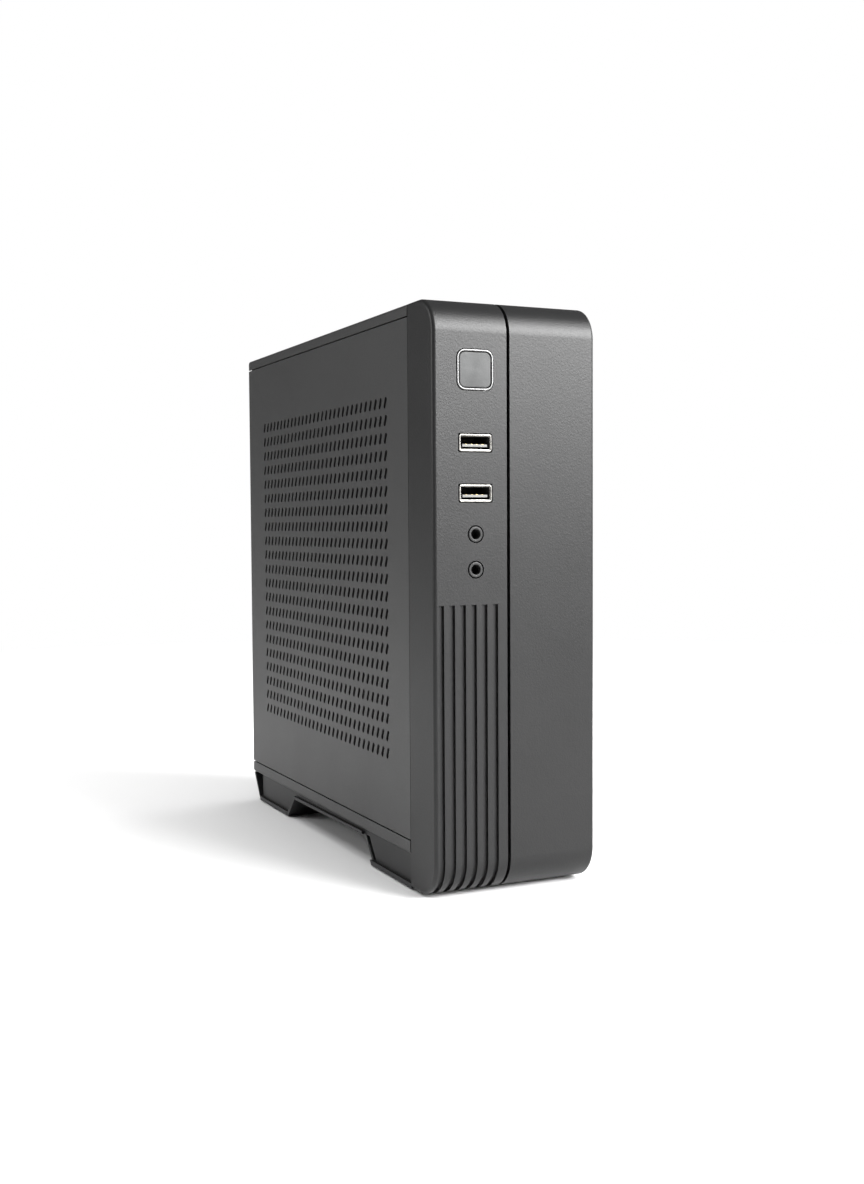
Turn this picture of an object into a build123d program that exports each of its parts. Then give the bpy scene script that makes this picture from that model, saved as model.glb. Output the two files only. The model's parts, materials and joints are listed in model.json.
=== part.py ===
from build123d import *
from math import cos, radians, sin
import os

# Slim upright mini-ITX computer. Millimetres. The front faces -Y, +X is to the right seen from
# the front, +Z is up. The origin is at the bottom centre of the object's bounding box.

os.makedirs("parts", exist_ok=True)

# ---------------------------------------------------------------- driving dimensions
case_width = 72.0
case_height = 235.0
front_y = -118.0
rear_y = 113.0
sheet = 1.0
half_width = case_width / 2
wall_inner_x = half_width - sheet
steel_bottom = 14.4
inner_bottom = steel_bottom + sheet
inner_top = case_height - sheet
air_gap = 0.3

bezel_depth = 23.2
bezel_back_y = front_y + bezel_depth
bezel_bottom = 1.0
bezel_wall = 2.4
top_round = 13.6
bottom_round = 14.2

controls_x = -17.9
button_z = 207.2
usb_heights = (179.1, 159.6)
jack_heights = (143.7, 129.9)
io_board_front_y = -101.6
io_board_back_y = -100.0

cover_top = 229.6
cover_bottom = 20.65
seam_gap = 0.6

board_face_x = 27.1
board_thickness = 1.6
board_size = 170.0
board_rear_y = 109.0
board_front_y = board_rear_y - board_size
board_bottom = 46.0
board_top = board_bottom + board_size

rear_wall_y = 111.7
fan_axis_y = 34.0
fan_axis_z = 150.0


def front_plane(y):
    """Plane facing forward at depth y: local x is X, local y is Z, extrude goes towards the front."""
    return Plane.XZ.offset(-y)


def side_plane(x):
    """Plane facing right at x: local x is Y, local y is Z, extrude goes towards the right."""
    return Plane.YZ.offset(x)


def block(x0, x1, y0, y1, z0, z1, mode=Mode.ADD):
    """Add or cut a box between two corners in the part being built."""
    with Locations(((x0 + x1) / 2, (y0 + y1) / 2, (z0 + z1) / 2)):
        Box(x1 - x0, y1 - y0, z1 - z0, mode=mode)


# ---------------------------------------------------------------- front bezel
rib_half = 2.6
rib_depth = 6.0
main_groove_x = -3.45
main_groove_width = 1.35
main_groove_depth = 3.0
reed_depth = 1.25
reed_width = 2.25
reed_pitch = 4.71
reed_count = 6
reed_first_x = -32.9
reed_top = 116.2
bezel_edge = 1.5
button_hole = 16.2
button_hole_corner = 3.6
usb_hole = (14.8, 7.4)
jack_hole_radius = 3.5
boss_radius = 2.8
boss_pilot = 1.25
boss_places = [(x, z) for x in (-26.9, -8.9) for z in (192.5, 136.8)]
clip_width = 8.0
clip_back_y = -90.6
clip_barb_y = -92.2
clip_rows = ((228.6, front_y + 3.2), (18.0, front_y + 1.8))
clip_places = [(x, z, root_y) for x in (-18.0, 20.0) for z, root_y in clip_rows]


def bezel_outline(inset, back_y, mode=Mode.ADD):
    """Add or cut the bezel's side outline, set in from the outer face by inset and open at back_y."""
    low = bezel_bottom + inset
    high = case_height - inset
    face = front_y + inset
    radius_top = top_round - inset
    radius_bottom = bottom_round - inset
    with BuildLine() as outline:
        Line((back_y, low), (face + radius_bottom, low))
        CenterArc((face + radius_bottom, low + radius_bottom), radius_bottom, 270, -90)
        Line((face, low + radius_bottom), (face, high - radius_top))
        CenterArc((face + radius_top, high - radius_top), radius_top, 180, -90)
        Line((face + radius_top, high), (back_y, high))
        Line((back_y, high), (back_y, low))
    make_face(outline.edges(), mode=mode)


def groove(x, width, depth, top):
    """Cut a slot of even depth that follows the bezel's outline up to the height top."""
    with BuildSketch(side_plane(x - width / 2)) as path:
        bezel_outline(-1.0, bezel_back_y + 1.0)
        bezel_outline(depth, bezel_back_y + 2.0, mode=Mode.SUBTRACT)
        with Locations((front_y, top + case_height / 2)):
            Rectangle(bezel_depth * 4, case_height, mode=Mode.SUBTRACT)
    extrude(path.sketch, amount=width, mode=Mode.SUBTRACT)


with BuildPart() as front_bezel:
    with BuildSketch(side_plane(0)):
        bezel_outline(0, bezel_back_y)
    extrude(amount=half_width, both=True)
    outer_loops = [
        e
        for e in front_bezel.edges()
        if abs(abs(e.center().X) - half_width) < 0.01 and e.center().Y < bezel_back_y - 1
    ]
    fillet(outer_loops, bezel_edge)
    with BuildSketch(side_plane(0)):
        bezel_outline(bezel_wall, bezel_back_y + 5)
    extrude(amount=half_width - bezel_wall, both=True, mode=Mode.SUBTRACT)
    with BuildSketch(side_plane(main_groove_x)):
        bezel_outline(bezel_wall - 0.2, bezel_back_y)
        bezel_outline(rib_depth, bezel_back_y + 1, mode=Mode.SUBTRACT)
    extrude(amount=rib_half, both=True)
    groove(main_groove_x, main_groove_width, main_groove_depth, case_height + 1)
    for i in range(reed_count):
        groove(reed_first_x + i * reed_pitch, reed_width, reed_depth, reed_top)
    for x, z in boss_places:
        with BuildSketch(front_plane(io_board_front_y)):
            with Locations((x, z)):
                Circle(boss_radius)
        extrude(amount=io_board_front_y - front_y - 1)
        with BuildSketch(front_plane(io_board_front_y)):
            with Locations((x, z)):
                Circle(boss_pilot)
        extrude(amount=9, mode=Mode.SUBTRACT)
    for x, z, root_y in clip_places:
        block(x - clip_width / 2, x + clip_width / 2, root_y, clip_back_y, z - 1, z + 1)
        block(x - clip_width / 2, x + clip_width / 2, clip_barb_y, clip_back_y, z + 1, z + 1.8)
    with BuildSketch(front_plane(front_y - 1)):
        with Locations((controls_x, button_z)):
            RectangleRounded(button_hole, button_hole, button_hole_corner)
        for z in usb_heights:
            with Locations((controls_x, z)):
                RectangleRounded(*usb_hole, 0.7)
        for z in jack_heights:
            with Locations((controls_x, z)):
                Circle(jack_hole_radius)
    extrude(amount=-6, mode=Mode.SUBTRACT)
front_bezel.part.label = "front_bezel"
export_step(front_bezel.part, "parts/front_bezel.step")

# ---------------------------------------------------------------- power button
ring_outer = 15.6
ring_inner = 14.0
ring_corner = 3.4
ring_front_y = front_y - 0.35
ring_back_y = -112.0
ring_flange_y = front_y + bezel_wall
ring_flange = 18.6
ring_flange_thickness = 1.2
cap_size = 13.4
cap_corner = 2.4
cap_front_y = front_y - 0.15
cap_flange_y = ring_back_y + air_gap
stem_radius = 2.0
stem_end_y = -106.9
plunger_radius = 1.7
plunger_end_y = -103.9
switch_size = 6.2

with BuildPart() as power_button_ring:
    with BuildSketch(front_plane(ring_back_y)):
        with Locations((controls_x, button_z)):
            RectangleRounded(ring_outer, ring_outer, ring_corner)
    extrude(amount=ring_back_y - ring_front_y)
    chamfer(power_button_ring.faces().sort_by(Axis.Y)[0].edges(), 0.25)
    with BuildSketch(front_plane(ring_flange_y + ring_flange_thickness)):
        with Locations((controls_x, button_z)):
            RectangleRounded(ring_flange, ring_flange, ring_corner)
    extrude(amount=ring_flange_thickness)
    with BuildSketch(front_plane(ring_back_y + 1)):
        with Locations((controls_x, button_z)):
            RectangleRounded(ring_inner, ring_inner, ring_corner - 0.8)
    extrude(amount=12, mode=Mode.SUBTRACT)
power_button_ring.part.label = "power_button_ring"
export_step(power_button_ring.part, "parts/power_button_ring.step")

with BuildPart() as power_button_cap:
    with BuildSketch(front_plane(cap_flange_y)):
        with Locations((controls_x, button_z)):
            RectangleRounded(cap_size, cap_size, cap_corner)
    extrude(amount=cap_flange_y - cap_front_y)
    chamfer(power_button_cap.faces().sort_by(Axis.Y)[0].edges(), 0.3)
    with BuildSketch(front_plane(cap_flange_y + 1.3)):
        with Locations((controls_x, button_z)):
            RectangleRounded(ring_outer, ring_outer, ring_corner)
    extrude(amount=1.3)
    with BuildSketch(front_plane(stem_end_y)):
        with Locations((controls_x, button_z)):
            Circle(stem_radius)
    extrude(amount=stem_end_y - cap_flange_y)
power_button_cap.part.label = "power_button_cap"
export_step(power_button_cap.part, "parts/power_button_cap.step")

with BuildPart() as power_switch_plunger:
    with BuildSketch(front_plane(plunger_end_y)):
        with Locations((controls_x, button_z)):
            Circle(plunger_radius)
    extrude(amount=plunger_end_y - stem_end_y)
power_switch_plunger.part.label = "power_switch_plunger"
export_step(power_switch_plunger.part, "parts/power_switch_plunger.step")

with BuildPart() as power_switch_body:
    with BuildSketch(front_plane(io_board_front_y)):
        with Locations((controls_x, button_z)):
            RectangleRounded(switch_size, switch_size, 0.4)
    extrude(amount=4.0)
    with BuildSketch(front_plane(io_board_front_y - 0.8)):
        with Locations((controls_x, button_z)):
            Circle(plunger_radius + air_gap)
    extrude(amount=5, mode=Mode.SUBTRACT)
power_switch_body.part.label = "power_switch_body"
export_step(power_switch_body.part, "parts/power_switch_body.step")

# ---------------------------------------------------------------- front sockets
usb_opening = (12.4, 5.0)
usb_flange = (14.2, 6.8)
usb_wall = 0.4
usb_front_y = front_y - 0.2
tongue_width = 10.8
tongue_low = -1.65
tongue_high = -0.5
tongue_front_y = front_y + 0.5
insulator_y = -105.0
jack_radius = 3.2
jack_bore = 1.8
jack_end_y = -104.6
stacked = ("upper", "lower")

for place, z in zip(stacked, usb_heights):
    with BuildPart() as usb_shell:
        with BuildSketch(front_plane(io_board_front_y)):
            with Locations((controls_x, z)):
                RectangleRounded(usb_opening[0] + 2 * usb_wall, usb_opening[1] + 2 * usb_wall, 0.6)
        extrude(amount=io_board_front_y - usb_front_y)
        with BuildSketch(front_plane(usb_front_y + 0.8)):
            with Locations((controls_x, z)):
                RectangleRounded(*usb_flange, 0.6)
        extrude(amount=0.8)
        chamfer(usb_shell.faces().sort_by(Axis.Y)[0].outer_wire().edges(), 0.2)
        with BuildSketch(front_plane(io_board_front_y + 1)):
            with Locations((controls_x, z)):
                RectangleRounded(*usb_opening, 0.3)
        extrude(amount=30, mode=Mode.SUBTRACT)
    usb_shell.part.label = "usb_shell_" + place
    export_step(usb_shell.part, "parts/usb_shell_" + place + ".step")

    with BuildPart() as usb_tongue:
        block(
            controls_x - usb_opening[0] / 2 + 0.1,
            controls_x + usb_opening[0] / 2 - 0.1,
            insulator_y,
            io_board_front_y,
            z - usb_opening[1] / 2 + 0.1,
            z + usb_opening[1] / 2 - 0.1,
        )
        block(
            controls_x - tongue_width / 2,
            controls_x + tongue_width / 2,
            tongue_front_y,
            insulator_y,
            z + tongue_low,
            z + tongue_high,
        )
        chamfer(usb_tongue.faces().sort_by(Axis.Y)[0].edges(), 0.2)
    usb_tongue.part.label = "usb_tongue_" + place
    export_step(usb_tongue.part, "parts/usb_tongue_" + place + ".step")

contact_offsets = (-3.5, -1.0, 1.0, 3.5)
with BuildPart() as usb_contacts:
    for z in usb_heights:
        for dx in contact_offsets:
            block(
                controls_x + dx - 0.5,
                controls_x + dx + 0.5,
                tongue_front_y + 0.8,
                insulator_y - 0.4,
                z + tongue_high,
                z + tongue_high + 0.15,
            )
usb_contacts.part.label = "usb_contacts"
export_step(usb_contacts.part, "parts/usb_contacts.step")

for name, z in zip(("headphone_jack", "microphone_jack"), jack_heights):
    with BuildPart() as jack:
        block(controls_x - 4, controls_x + 4, front_y + 4.5, io_board_front_y, z - 4.2, z + 4.2)
        with BuildSketch(front_plane(front_y + 4.5)):
            with Locations((controls_x, z)):
                Circle(jack_radius)
        extrude(amount=4.5 + 0.15)
        chamfer(jack.faces().sort_by(Axis.Y)[0].edges(), 0.35)
        with BuildSketch(front_plane(jack_end_y)):
            with Locations((controls_x, z)):
                Circle(jack_bore)
        extrude(amount=20, mode=Mode.SUBTRACT)
    jack.part.label = name
    export_step(jack.part, "parts/" + name + ".step")

io_board_half = 12.0
io_board_bottom = 122.0
io_board_top = 217.0
screw_head_radius = 2.6
with BuildPart() as front_io_board:
    block(
        controls_x - io_board_half,
        controls_x + io_board_half,
        io_board_front_y,
        io_board_back_y,
        io_board_bottom,
        io_board_top,
    )
    fillet(front_io_board.edges().filter_by(Axis.Y), 1.0)
    with BuildSketch(front_plane(io_board_back_y + 1)):
        with Locations(*boss_places):
            Circle(1.4)
    extrude(amount=4, mode=Mode.SUBTRACT)
front_io_board.part.label = "front_io_board"
export_step(front_io_board.part, "parts/front_io_board.step")


def pan_screws(plane, places, shank_radius, shank_length, head_radius, head_height):
    """Pan-head screws with a cross recess. The plane is under the heads and faces out of them."""
    with BuildSketch(plane) as heads:
        with Locations(*places):
            Circle(head_radius)
    extrude(heads.sketch, amount=head_height)
    with BuildSketch(plane) as shanks:
        with Locations(*places):
            Circle(shank_radius)
    extrude(shanks.sketch, amount=-shank_length)
    with BuildSketch(plane.offset(head_height)) as recesses:
        with Locations(*places):
            Rectangle(head_radius * 1.1, head_radius * 0.24)
            Rectangle(head_radius * 0.24, head_radius * 1.1)
    extrude(recesses.sketch, amount=-head_height * 0.6, mode=Mode.SUBTRACT)


rearward = Plane(origin=(0, io_board_back_y, 0), x_dir=(1, 0, 0), z_dir=(0, 1, 0))
with BuildPart() as io_board_screws:
    pan_screws(rearward, [(x, -z) for x, z in boss_places], 1.2, 8, screw_head_radius, 1.4)
io_board_screws.part.label = "io_board_screws"
export_step(io_board_screws.part, "parts/io_board_screws.step")

# ---------------------------------------------------------------- steel case
shell_front_y = bezel_back_y + 0.8
fold_outer = 1.6
fold_inner = 0.6
standoff_head = 2.7
board_hole_y = (board_rear_y - 10.16, board_rear_y - 165.1)
board_hole_z = (board_bottom + 6.26, board_top - 6.26)
board_holes = [(y, z) for y in board_hole_y for z in board_hole_z]
base_screw_places = [(x, y) for x in (-20.0, 20.0) for y in (-36.0, 42.0)]
bracket_screw_places = [(-2.0, -62.0), (-2.0, 8.0)]

with BuildPart() as chassis_shell:
    with BuildSketch(front_plane(rear_y)):
        with Locations((0, (case_height + steel_bottom) / 2)):
            RectangleRounded(case_width, case_height - steel_bottom, fold_outer)
            RectangleRounded(
                case_width - 2 * sheet,
                case_height - steel_bottom - 2 * sheet,
                fold_inner,
                mode=Mode.SUBTRACT,
            )
        with Locations((-half_width, (cover_top + cover_bottom) / 2)):
            Rectangle(4, cover_top - cover_bottom + 2 * seam_gap, mode=Mode.SUBTRACT)
    extrude(amount=rear_y - shell_front_y)
    with BuildSketch(side_plane(wall_inner_x - 1)):
        with Locations(*board_holes):
            Circle(standoff_head)
    extrude(amount=4, mode=Mode.SUBTRACT)
    with BuildSketch(Plane.XY.offset(steel_bottom - 1)):
        with Locations(*base_screw_places, *bracket_screw_places):
            Circle(1.7)
    extrude(amount=3, mode=Mode.SUBTRACT)
chassis_shell.part.label = "chassis_shell"
export_step(chassis_shell.part, "parts/chassis_shell.step")

panel_front_y = -93.5
panel_left_x = -31.0
panel_edge = 34.8
with BuildPart() as front_inner_panel:
    block(panel_left_x, panel_edge, panel_front_y, panel_front_y + sheet, 15.6, 233.8)
    block(panel_edge - sheet, panel_edge, panel_front_y, panel_front_y + 9, 15.6, 233.8)
    block(panel_left_x, panel_edge, panel_front_y, panel_front_y + 9, 232.8, 233.8)
    block(panel_left_x, panel_edge, panel_front_y, panel_front_y + 9, 15.6, 16.6)
    block(
        controls_x - 10,
        controls_x + 10,
        panel_front_y - 1.5,
        panel_front_y + 1.5,
        io_board_bottom,
        io_board_top - 8,
        mode=Mode.SUBTRACT,
    )
    for x, z, root_y in clip_places:
        block(
            x - 4.6,
            x + 4.6,
            panel_front_y - 1.5,
            panel_front_y + 1.5,
            z - 1.4,
            z + 2.4,
            mode=Mode.SUBTRACT,
        )
    with BuildSketch(front_plane(panel_front_y + 2)):
        with Locations((2, 72)):
            with HexLocations(2.4, 9, 17):
                RegularPolygon(1.9, 6)
    extrude(amount=4, mode=Mode.SUBTRACT)
front_inner_panel.part.label = "front_inner_panel"
export_step(front_inner_panel.part, "parts/front_inner_panel.step")

window_low = 52.0
window_high = 210.75
window_right = 29.4
window_left = window_right - 44.45
thumbscrew_x = -29.5
thumbscrew_heights = (48.0, 125.0, 202.0)
slot_width = 2.1
slot_reach = 2.8
slot_angle = 65.0

with BuildPart() as rear_panel:
    block(-34.7, 34.7, rear_wall_y - sheet, rear_wall_y, 15.7, 233.7)
    block(33.8, 34.8, rear_wall_y - 9, rear_wall_y, 15.7, 233.7)
    block(-34.7, 34.7, rear_wall_y - 9, rear_wall_y, 232.8, 233.8)
    block(-34.7, 34.7, rear_wall_y - 9, rear_wall_y, 15.6, 16.6)
    block(
        window_left,
        window_right,
        rear_wall_y - 2,
        rear_wall_y + 1,
        window_low,
        window_high,
        mode=Mode.SUBTRACT,
    )
    with BuildSketch(front_plane(rear_wall_y + 1)):
        with Locations(*[(thumbscrew_x, z) for z in thumbscrew_heights]):
            Circle(1.8)
        with Locations((8, 222)):
            with GridLocations(5.3, 6.0, 8, 2):
                SlotCenterToCenter(slot_reach, slot_width, rotation=slot_angle)
        with Locations((0, 34)):
            with GridLocations(5.3, 7.275, 9, 3):
                SlotCenterToCenter(slot_reach, slot_width, rotation=slot_angle)
    extrude(amount=2.2, mode=Mode.SUBTRACT)
rear_panel.part.label = "rear_panel"
export_step(rear_panel.part, "parts/rear_panel.step")

# ---------------------------------------------------------------- vented side cover
slot_pitch = 5.3
slot_row_pitch = 7.275
slot_columns = 31
slot_rows = 21
slot_field_y = front_y + 125.7
slot_field_z = 125.05
cover_front_y = bezel_back_y + air_gap
joggle_x = -34.7
joggle_front_y = cover_front_y + 4
joggle_rear_y = 98.0
flange_right_x = -23.0
hook_heights = (45.0, 125.0, 205.0)

with BuildPart() as side_cover:
    block(-half_width, -wall_inner_x, cover_front_y, rear_y, cover_bottom, cover_top)
    for low, high in ((cover_top - sheet, 232.6), (18.0, cover_bottom + sheet)):
        block(joggle_x, joggle_x + sheet, joggle_front_y, joggle_rear_y, low, high)
    for low in (cover_top - sheet, cover_bottom):
        block(-half_width, joggle_x + sheet, joggle_front_y, joggle_rear_y, low, low + sheet)
    block(-half_width, flange_right_x, rear_y - sheet, rear_y, 24, 226)
    for z in hook_heights:
        block(-wall_inner_x, -32.0, cover_front_y, cover_front_y + 1.2, z - 10, z + 10)
        block(-33.2, -32.0, bezel_back_y - 4, cover_front_y + 1.2, z - 10, z + 10)
    with BuildSketch(side_plane(-half_width - 1)):
        with Locations((slot_field_y, slot_field_z)):
            with GridLocations(slot_pitch, slot_row_pitch, slot_columns, slot_rows):
                SlotCenterToCenter(slot_reach, slot_width, rotation=180 - slot_angle)
    extrude(amount=3, mode=Mode.SUBTRACT)
    with BuildSketch(front_plane(rear_y + 1)):
        with Locations(*[(thumbscrew_x, z) for z in thumbscrew_heights]):
            Circle(1.6)
    extrude(amount=3, mode=Mode.SUBTRACT)
side_cover.part.label = "side_cover"
export_step(side_cover.part, "parts/side_cover.step")

knurl_count = 24
thumb_radius = 3.9
thumb_length = 5.35
with BuildPart() as cover_thumbscrews:
    outward = Plane(origin=(0, rear_y, 0), x_dir=(1, 0, 0), z_dir=(0, 1, 0))
    for z in thumbscrew_heights:
        with BuildSketch(outward):
            with Locations((thumbscrew_x, -z)):
                Circle(thumb_radius)
        extrude(amount=thumb_length)
        with BuildSketch(outward):
            with Locations((thumbscrew_x, -z)):
                with PolarLocations(thumb_radius + 0.1, knurl_count):
                    Circle(0.3)
        extrude(amount=thumb_length - 1.2, mode=Mode.SUBTRACT)
        with BuildSketch(outward):
            with Locations((thumbscrew_x, -z)):
                Circle(1.45)
        extrude(amount=-8)
        with BuildSketch(outward.offset(thumb_length)):
            with Locations((thumbscrew_x, -z)):
                Rectangle(4.4, 0.9)
                Rectangle(0.9, 4.4)
        extrude(amount=-1.6, mode=Mode.SUBTRACT)
cover_thumbscrews.part.label = "cover_thumbscrews"
export_step(cover_thumbscrews.part, "parts/cover_thumbscrews.step")

# ---------------------------------------------------------------- base and feet
base_half = 35.8
base_front_y = bezel_back_y + air_gap
base_top = steel_bottom - 0.1
foot_bottom = 0.6
rear_foot_back = rear_y - 10.2
rear_foot_front = 57.8
raised_back_y = 47.8
raised_back_z = 10.8
raised_front_y = -42.2
raised_front_z = 12.0
front_foot_back = -50.5
deck_bottom = 12.6
lip_height = 2.0
pocket_depth = 1.4
relief_depth = 6.0
side_block = 7.0
skin = 2.2
outline_points = [
    (rear_y - 0.3, base_top),
    (rear_foot_back, foot_bottom),
    (rear_foot_front, foot_bottom),
    (raised_back_y, raised_back_z),
    (raised_front_y, raised_front_z),
    (front_foot_back, foot_bottom),
    (base_front_y, foot_bottom),
    (base_front_y, base_top),
]
pocket_points = [
    (rear_foot_back + 1.0, base_top + 1),
    (rear_foot_back + 1.0, foot_bottom + lip_height),
    (rear_foot_front + 0.8, foot_bottom + lip_height),
    (raised_back_y + 1.2, raised_back_z + 1.5),
    (raised_front_y + 1.0, raised_front_z + 1.3),
    (front_foot_back + 2.2, foot_bottom - 1),
    (front_foot_back - 2.1, foot_bottom - 1),
    (front_foot_back + 0.1, foot_bottom + lip_height),
    (base_front_y - 1, foot_bottom + lip_height),
    (base_front_y - 1, base_top + 1),
]
rear_relief = [
    (rear_y - 2.4, base_top + 1),
    (rear_y - 2.4, base_top - 0.2),
    (rear_foot_back + 0.4, foot_bottom + lip_height),
    (rear_foot_back - 0.6, foot_bottom + lip_height),
    (rear_foot_back - 0.6, base_top + 1),
]
front_relief = [
    (raised_front_y - 1.0, raised_front_z),
    (raised_front_y - 5.0, raised_front_z),
    (front_foot_back - 4.2, foot_bottom + lip_height),
    (front_foot_back - 1.0, foot_bottom + lip_height),
]
rear_hollow = [
    (rear_y - 3.4, deck_bottom - 0.6),
    (rear_foot_back - skin, -1),
    (rear_foot_front + skin, -1),
    (raised_back_y + skin + 0.6, deck_bottom - 0.6),
]
front_hollow = [
    (raised_front_y - skin - 0.8, deck_bottom - 0.6),
    (front_foot_back - skin, -1),
    (base_front_y + skin, -1),
    (base_front_y + skin, deck_bottom - 0.6),
]
side_cuts = (
    (pocket_points, pocket_depth),
    (rear_relief, relief_depth),
    (front_relief, relief_depth),
)
base_screw_seat = 12.6
pad_size = (26.0, 4.4)
pad_places = [(x, y) for x in (-31.9, 31.9) for y in (80.3, -72.5)]

with BuildPart() as base_skirt:
    with BuildSketch(side_plane(0)):
        with BuildLine():
            Polyline(*outline_points, close=True)
        make_face()
    extrude(amount=base_half, both=True)
    for hollow in (rear_hollow, front_hollow):
        with BuildSketch(side_plane(0)):
            with BuildLine():
                Polyline(*hollow, close=True)
            make_face()
        extrude(amount=base_half - side_block, both=True, mode=Mode.SUBTRACT)
    for side in (-1, 1):
        for points, depth in side_cuts:
            with BuildSketch(side_plane(side * base_half)):
                with BuildLine():
                    Polyline(*points, close=True)
                make_face()
            extrude(amount=-side * depth, mode=Mode.SUBTRACT)
    with BuildSketch(Plane.XY.offset(foot_bottom)):
        with Locations(*pad_places):
            RectangleRounded(pad_size[1], pad_size[0], 2.0)
    extrude(amount=1.0, mode=Mode.SUBTRACT)
    with BuildSketch(Plane.XY.offset(base_top + 1)):
        with Locations(*base_screw_places):
            Circle(1.7)
    extrude(amount=-8, mode=Mode.SUBTRACT)
    with BuildSketch(Plane.XY.offset(base_screw_seat)):
        with Locations(*base_screw_places):
            Circle(2.9)
    extrude(amount=-4, mode=Mode.SUBTRACT)
base_skirt.part.label = "base_skirt"
export_step(base_skirt.part, "parts/base_skirt.step")

with BuildPart() as rubber_pads:
    with BuildSketch(Plane.XY):
        with Locations(*pad_places):
            RectangleRounded(pad_size[1] - 0.1, pad_size[0] - 0.1, 1.9)
    extrude(amount=1.6)
    fillet(rubber_pads.faces().group_by(Axis.Z)[0].edges(), 0.3)
rubber_pads.part.label = "rubber_pads"
export_step(rubber_pads.part, "parts/rubber_pads.step")

with BuildPart() as base_screws:
    under = Plane(origin=(0, 0, base_screw_seat), x_dir=(1, 0, 0), z_dir=(0, 0, -1))
    pan_screws(under, [(x, -y) for x, y in base_screw_places], 1.4, 4.5, 2.4, 1.3)
base_screws.part.label = "base_screws"
export_step(base_screws.part, "parts/base_screws.step")


def left_plane(x):
    """Plane facing left at x: local x is -Y, local y is Z, extrude goes towards the left."""
    return Plane(origin=(x, 0, 0), x_dir=(0, -1, 0), z_dir=(-1, 0, 0))


def rear_plane(y):
    """Plane facing backwards at y: local x is -X, local y is Z, extrude goes towards the rear."""
    return Plane(origin=(0, y, 0), x_dir=(-1, 0, 0), z_dir=(0, 1, 0))


# ---------------------------------------------------------------- main board
board_back_x = board_face_x + board_thickness
cooler_holes = [(fan_axis_y + a, fan_axis_z + b) for a in (-44, 44) for b in (-20, 20)]

with BuildPart() as motherboard:
    block(board_face_x, board_back_x, board_front_y, board_rear_y, board_bottom, board_top)
    fillet(motherboard.edges().filter_by(Axis.X), 1.5)
    with BuildSketch(side_plane(board_face_x - 1)):
        with Locations(*board_holes):
            Circle(1.9)
        with Locations(*cooler_holes):
            Circle(1.8)
    extrude(amount=4, mode=Mode.SUBTRACT)
motherboard.part.label = "motherboard"
export_step(motherboard.part, "parts/motherboard.step")

with BuildPart() as board_standoffs:
    with BuildSketch(side_plane(board_back_x)):
        with Locations(*board_holes):
            RegularPolygon(2.9, 6)
    extrude(amount=wall_inner_x - board_back_x)
    with BuildSketch(side_plane(wall_inner_x)):
        with Locations(*board_holes):
            Circle(standoff_head)
    extrude(amount=sheet)
    with BuildSketch(side_plane(board_back_x - 1)):
        with Locations(*board_holes):
            Circle(1.4)
    extrude(amount=6, mode=Mode.SUBTRACT)
board_standoffs.part.label = "board_standoffs"
export_step(board_standoffs.part, "parts/board_standoffs.step")

with BuildPart() as board_screws:
    pan_screws(left_plane(board_face_x), [(-y, z) for y, z in board_holes], 1.35, 5.5, 2.9, 1.8)
board_screws.part.label = "board_screws"
export_step(board_screws.part, "parts/board_screws.step")

# ---------------------------------------------------------------- processor and cooler
socket_height = 3.0
chip_height = 3.4
chip_face_x = board_face_x - socket_height - chip_height
sink_base = 5.0
sink_base_x = chip_face_x - sink_base
fin_reach = 19.5
fin_tip_x = sink_base_x - fin_reach
fin_pitch = 3.25
fin_count = 24
fin_thickness = 0.8
fin_half_length = 39.0

with BuildPart() as cpu_socket:
    block(
        board_face_x - socket_height,
        board_face_x,
        fan_axis_y - 25,
        fan_axis_y + 25,
        fan_axis_z - 27,
        fan_axis_z + 27,
    )
    block(
        board_face_x - socket_height - 1,
        board_face_x - 1.4,
        fan_axis_y - 19,
        fan_axis_y + 19,
        fan_axis_z - 19,
        fan_axis_z + 19,
        mode=Mode.SUBTRACT,
    )
    block(
        board_face_x - socket_height,
        board_face_x - 1.2,
        fan_axis_y - 23.4,
        fan_axis_y - 21.8,
        fan_axis_z - 31,
        fan_axis_z + 22,
    )
cpu_socket.part.label = "cpu_socket"
export_step(cpu_socket.part, "parts/cpu_socket.step")

with BuildPart() as cpu_chip:
    with BuildSketch(left_plane(board_face_x - 1.4)):
        with Locations((-fan_axis_y, fan_axis_z)):
            RectangleRounded(37.5, 37.5, 1)
    extrude(amount=1.7)
    with BuildSketch(left_plane(board_face_x - 3.1)):
        with Locations((-fan_axis_y, fan_axis_z)):
            RectangleRounded(31, 31, 2)
    extrude(amount=socket_height + chip_height - 3.1)
cpu_chip.part.label = "cpu_chip"
export_step(cpu_chip.part, "parts/cpu_chip.step")

with BuildPart() as heatsink:
    block(
        sink_base_x,
        chip_face_x,
        fan_axis_y - 38,
        fan_axis_y + 38,
        fan_axis_z - fin_half_length,
        fan_axis_z + fin_half_length,
    )
    for offset_z in (-20, 20):
        block(
            chip_face_x - 3,
            chip_face_x,
            fan_axis_y - 48,
            fan_axis_y + 48,
            fan_axis_z + offset_z - 5,
            fan_axis_z + offset_z + 5,
        )
    with BuildSketch(left_plane(sink_base_x)):
        with Locations((-fan_axis_y, fan_axis_z)):
            with GridLocations(fin_pitch, 1, fin_count, 1):
                Rectangle(fin_thickness, 2 * fin_half_length)
    extrude(amount=fin_reach)
    with BuildSketch(left_plane(chip_face_x + 1)):
        with Locations(*[(-y, z) for y, z in cooler_holes]):
            Circle(1.8)
    extrude(amount=6, mode=Mode.SUBTRACT)
heatsink.part.label = "heatsink"
export_step(heatsink.part, "parts/heatsink.step")

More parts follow.
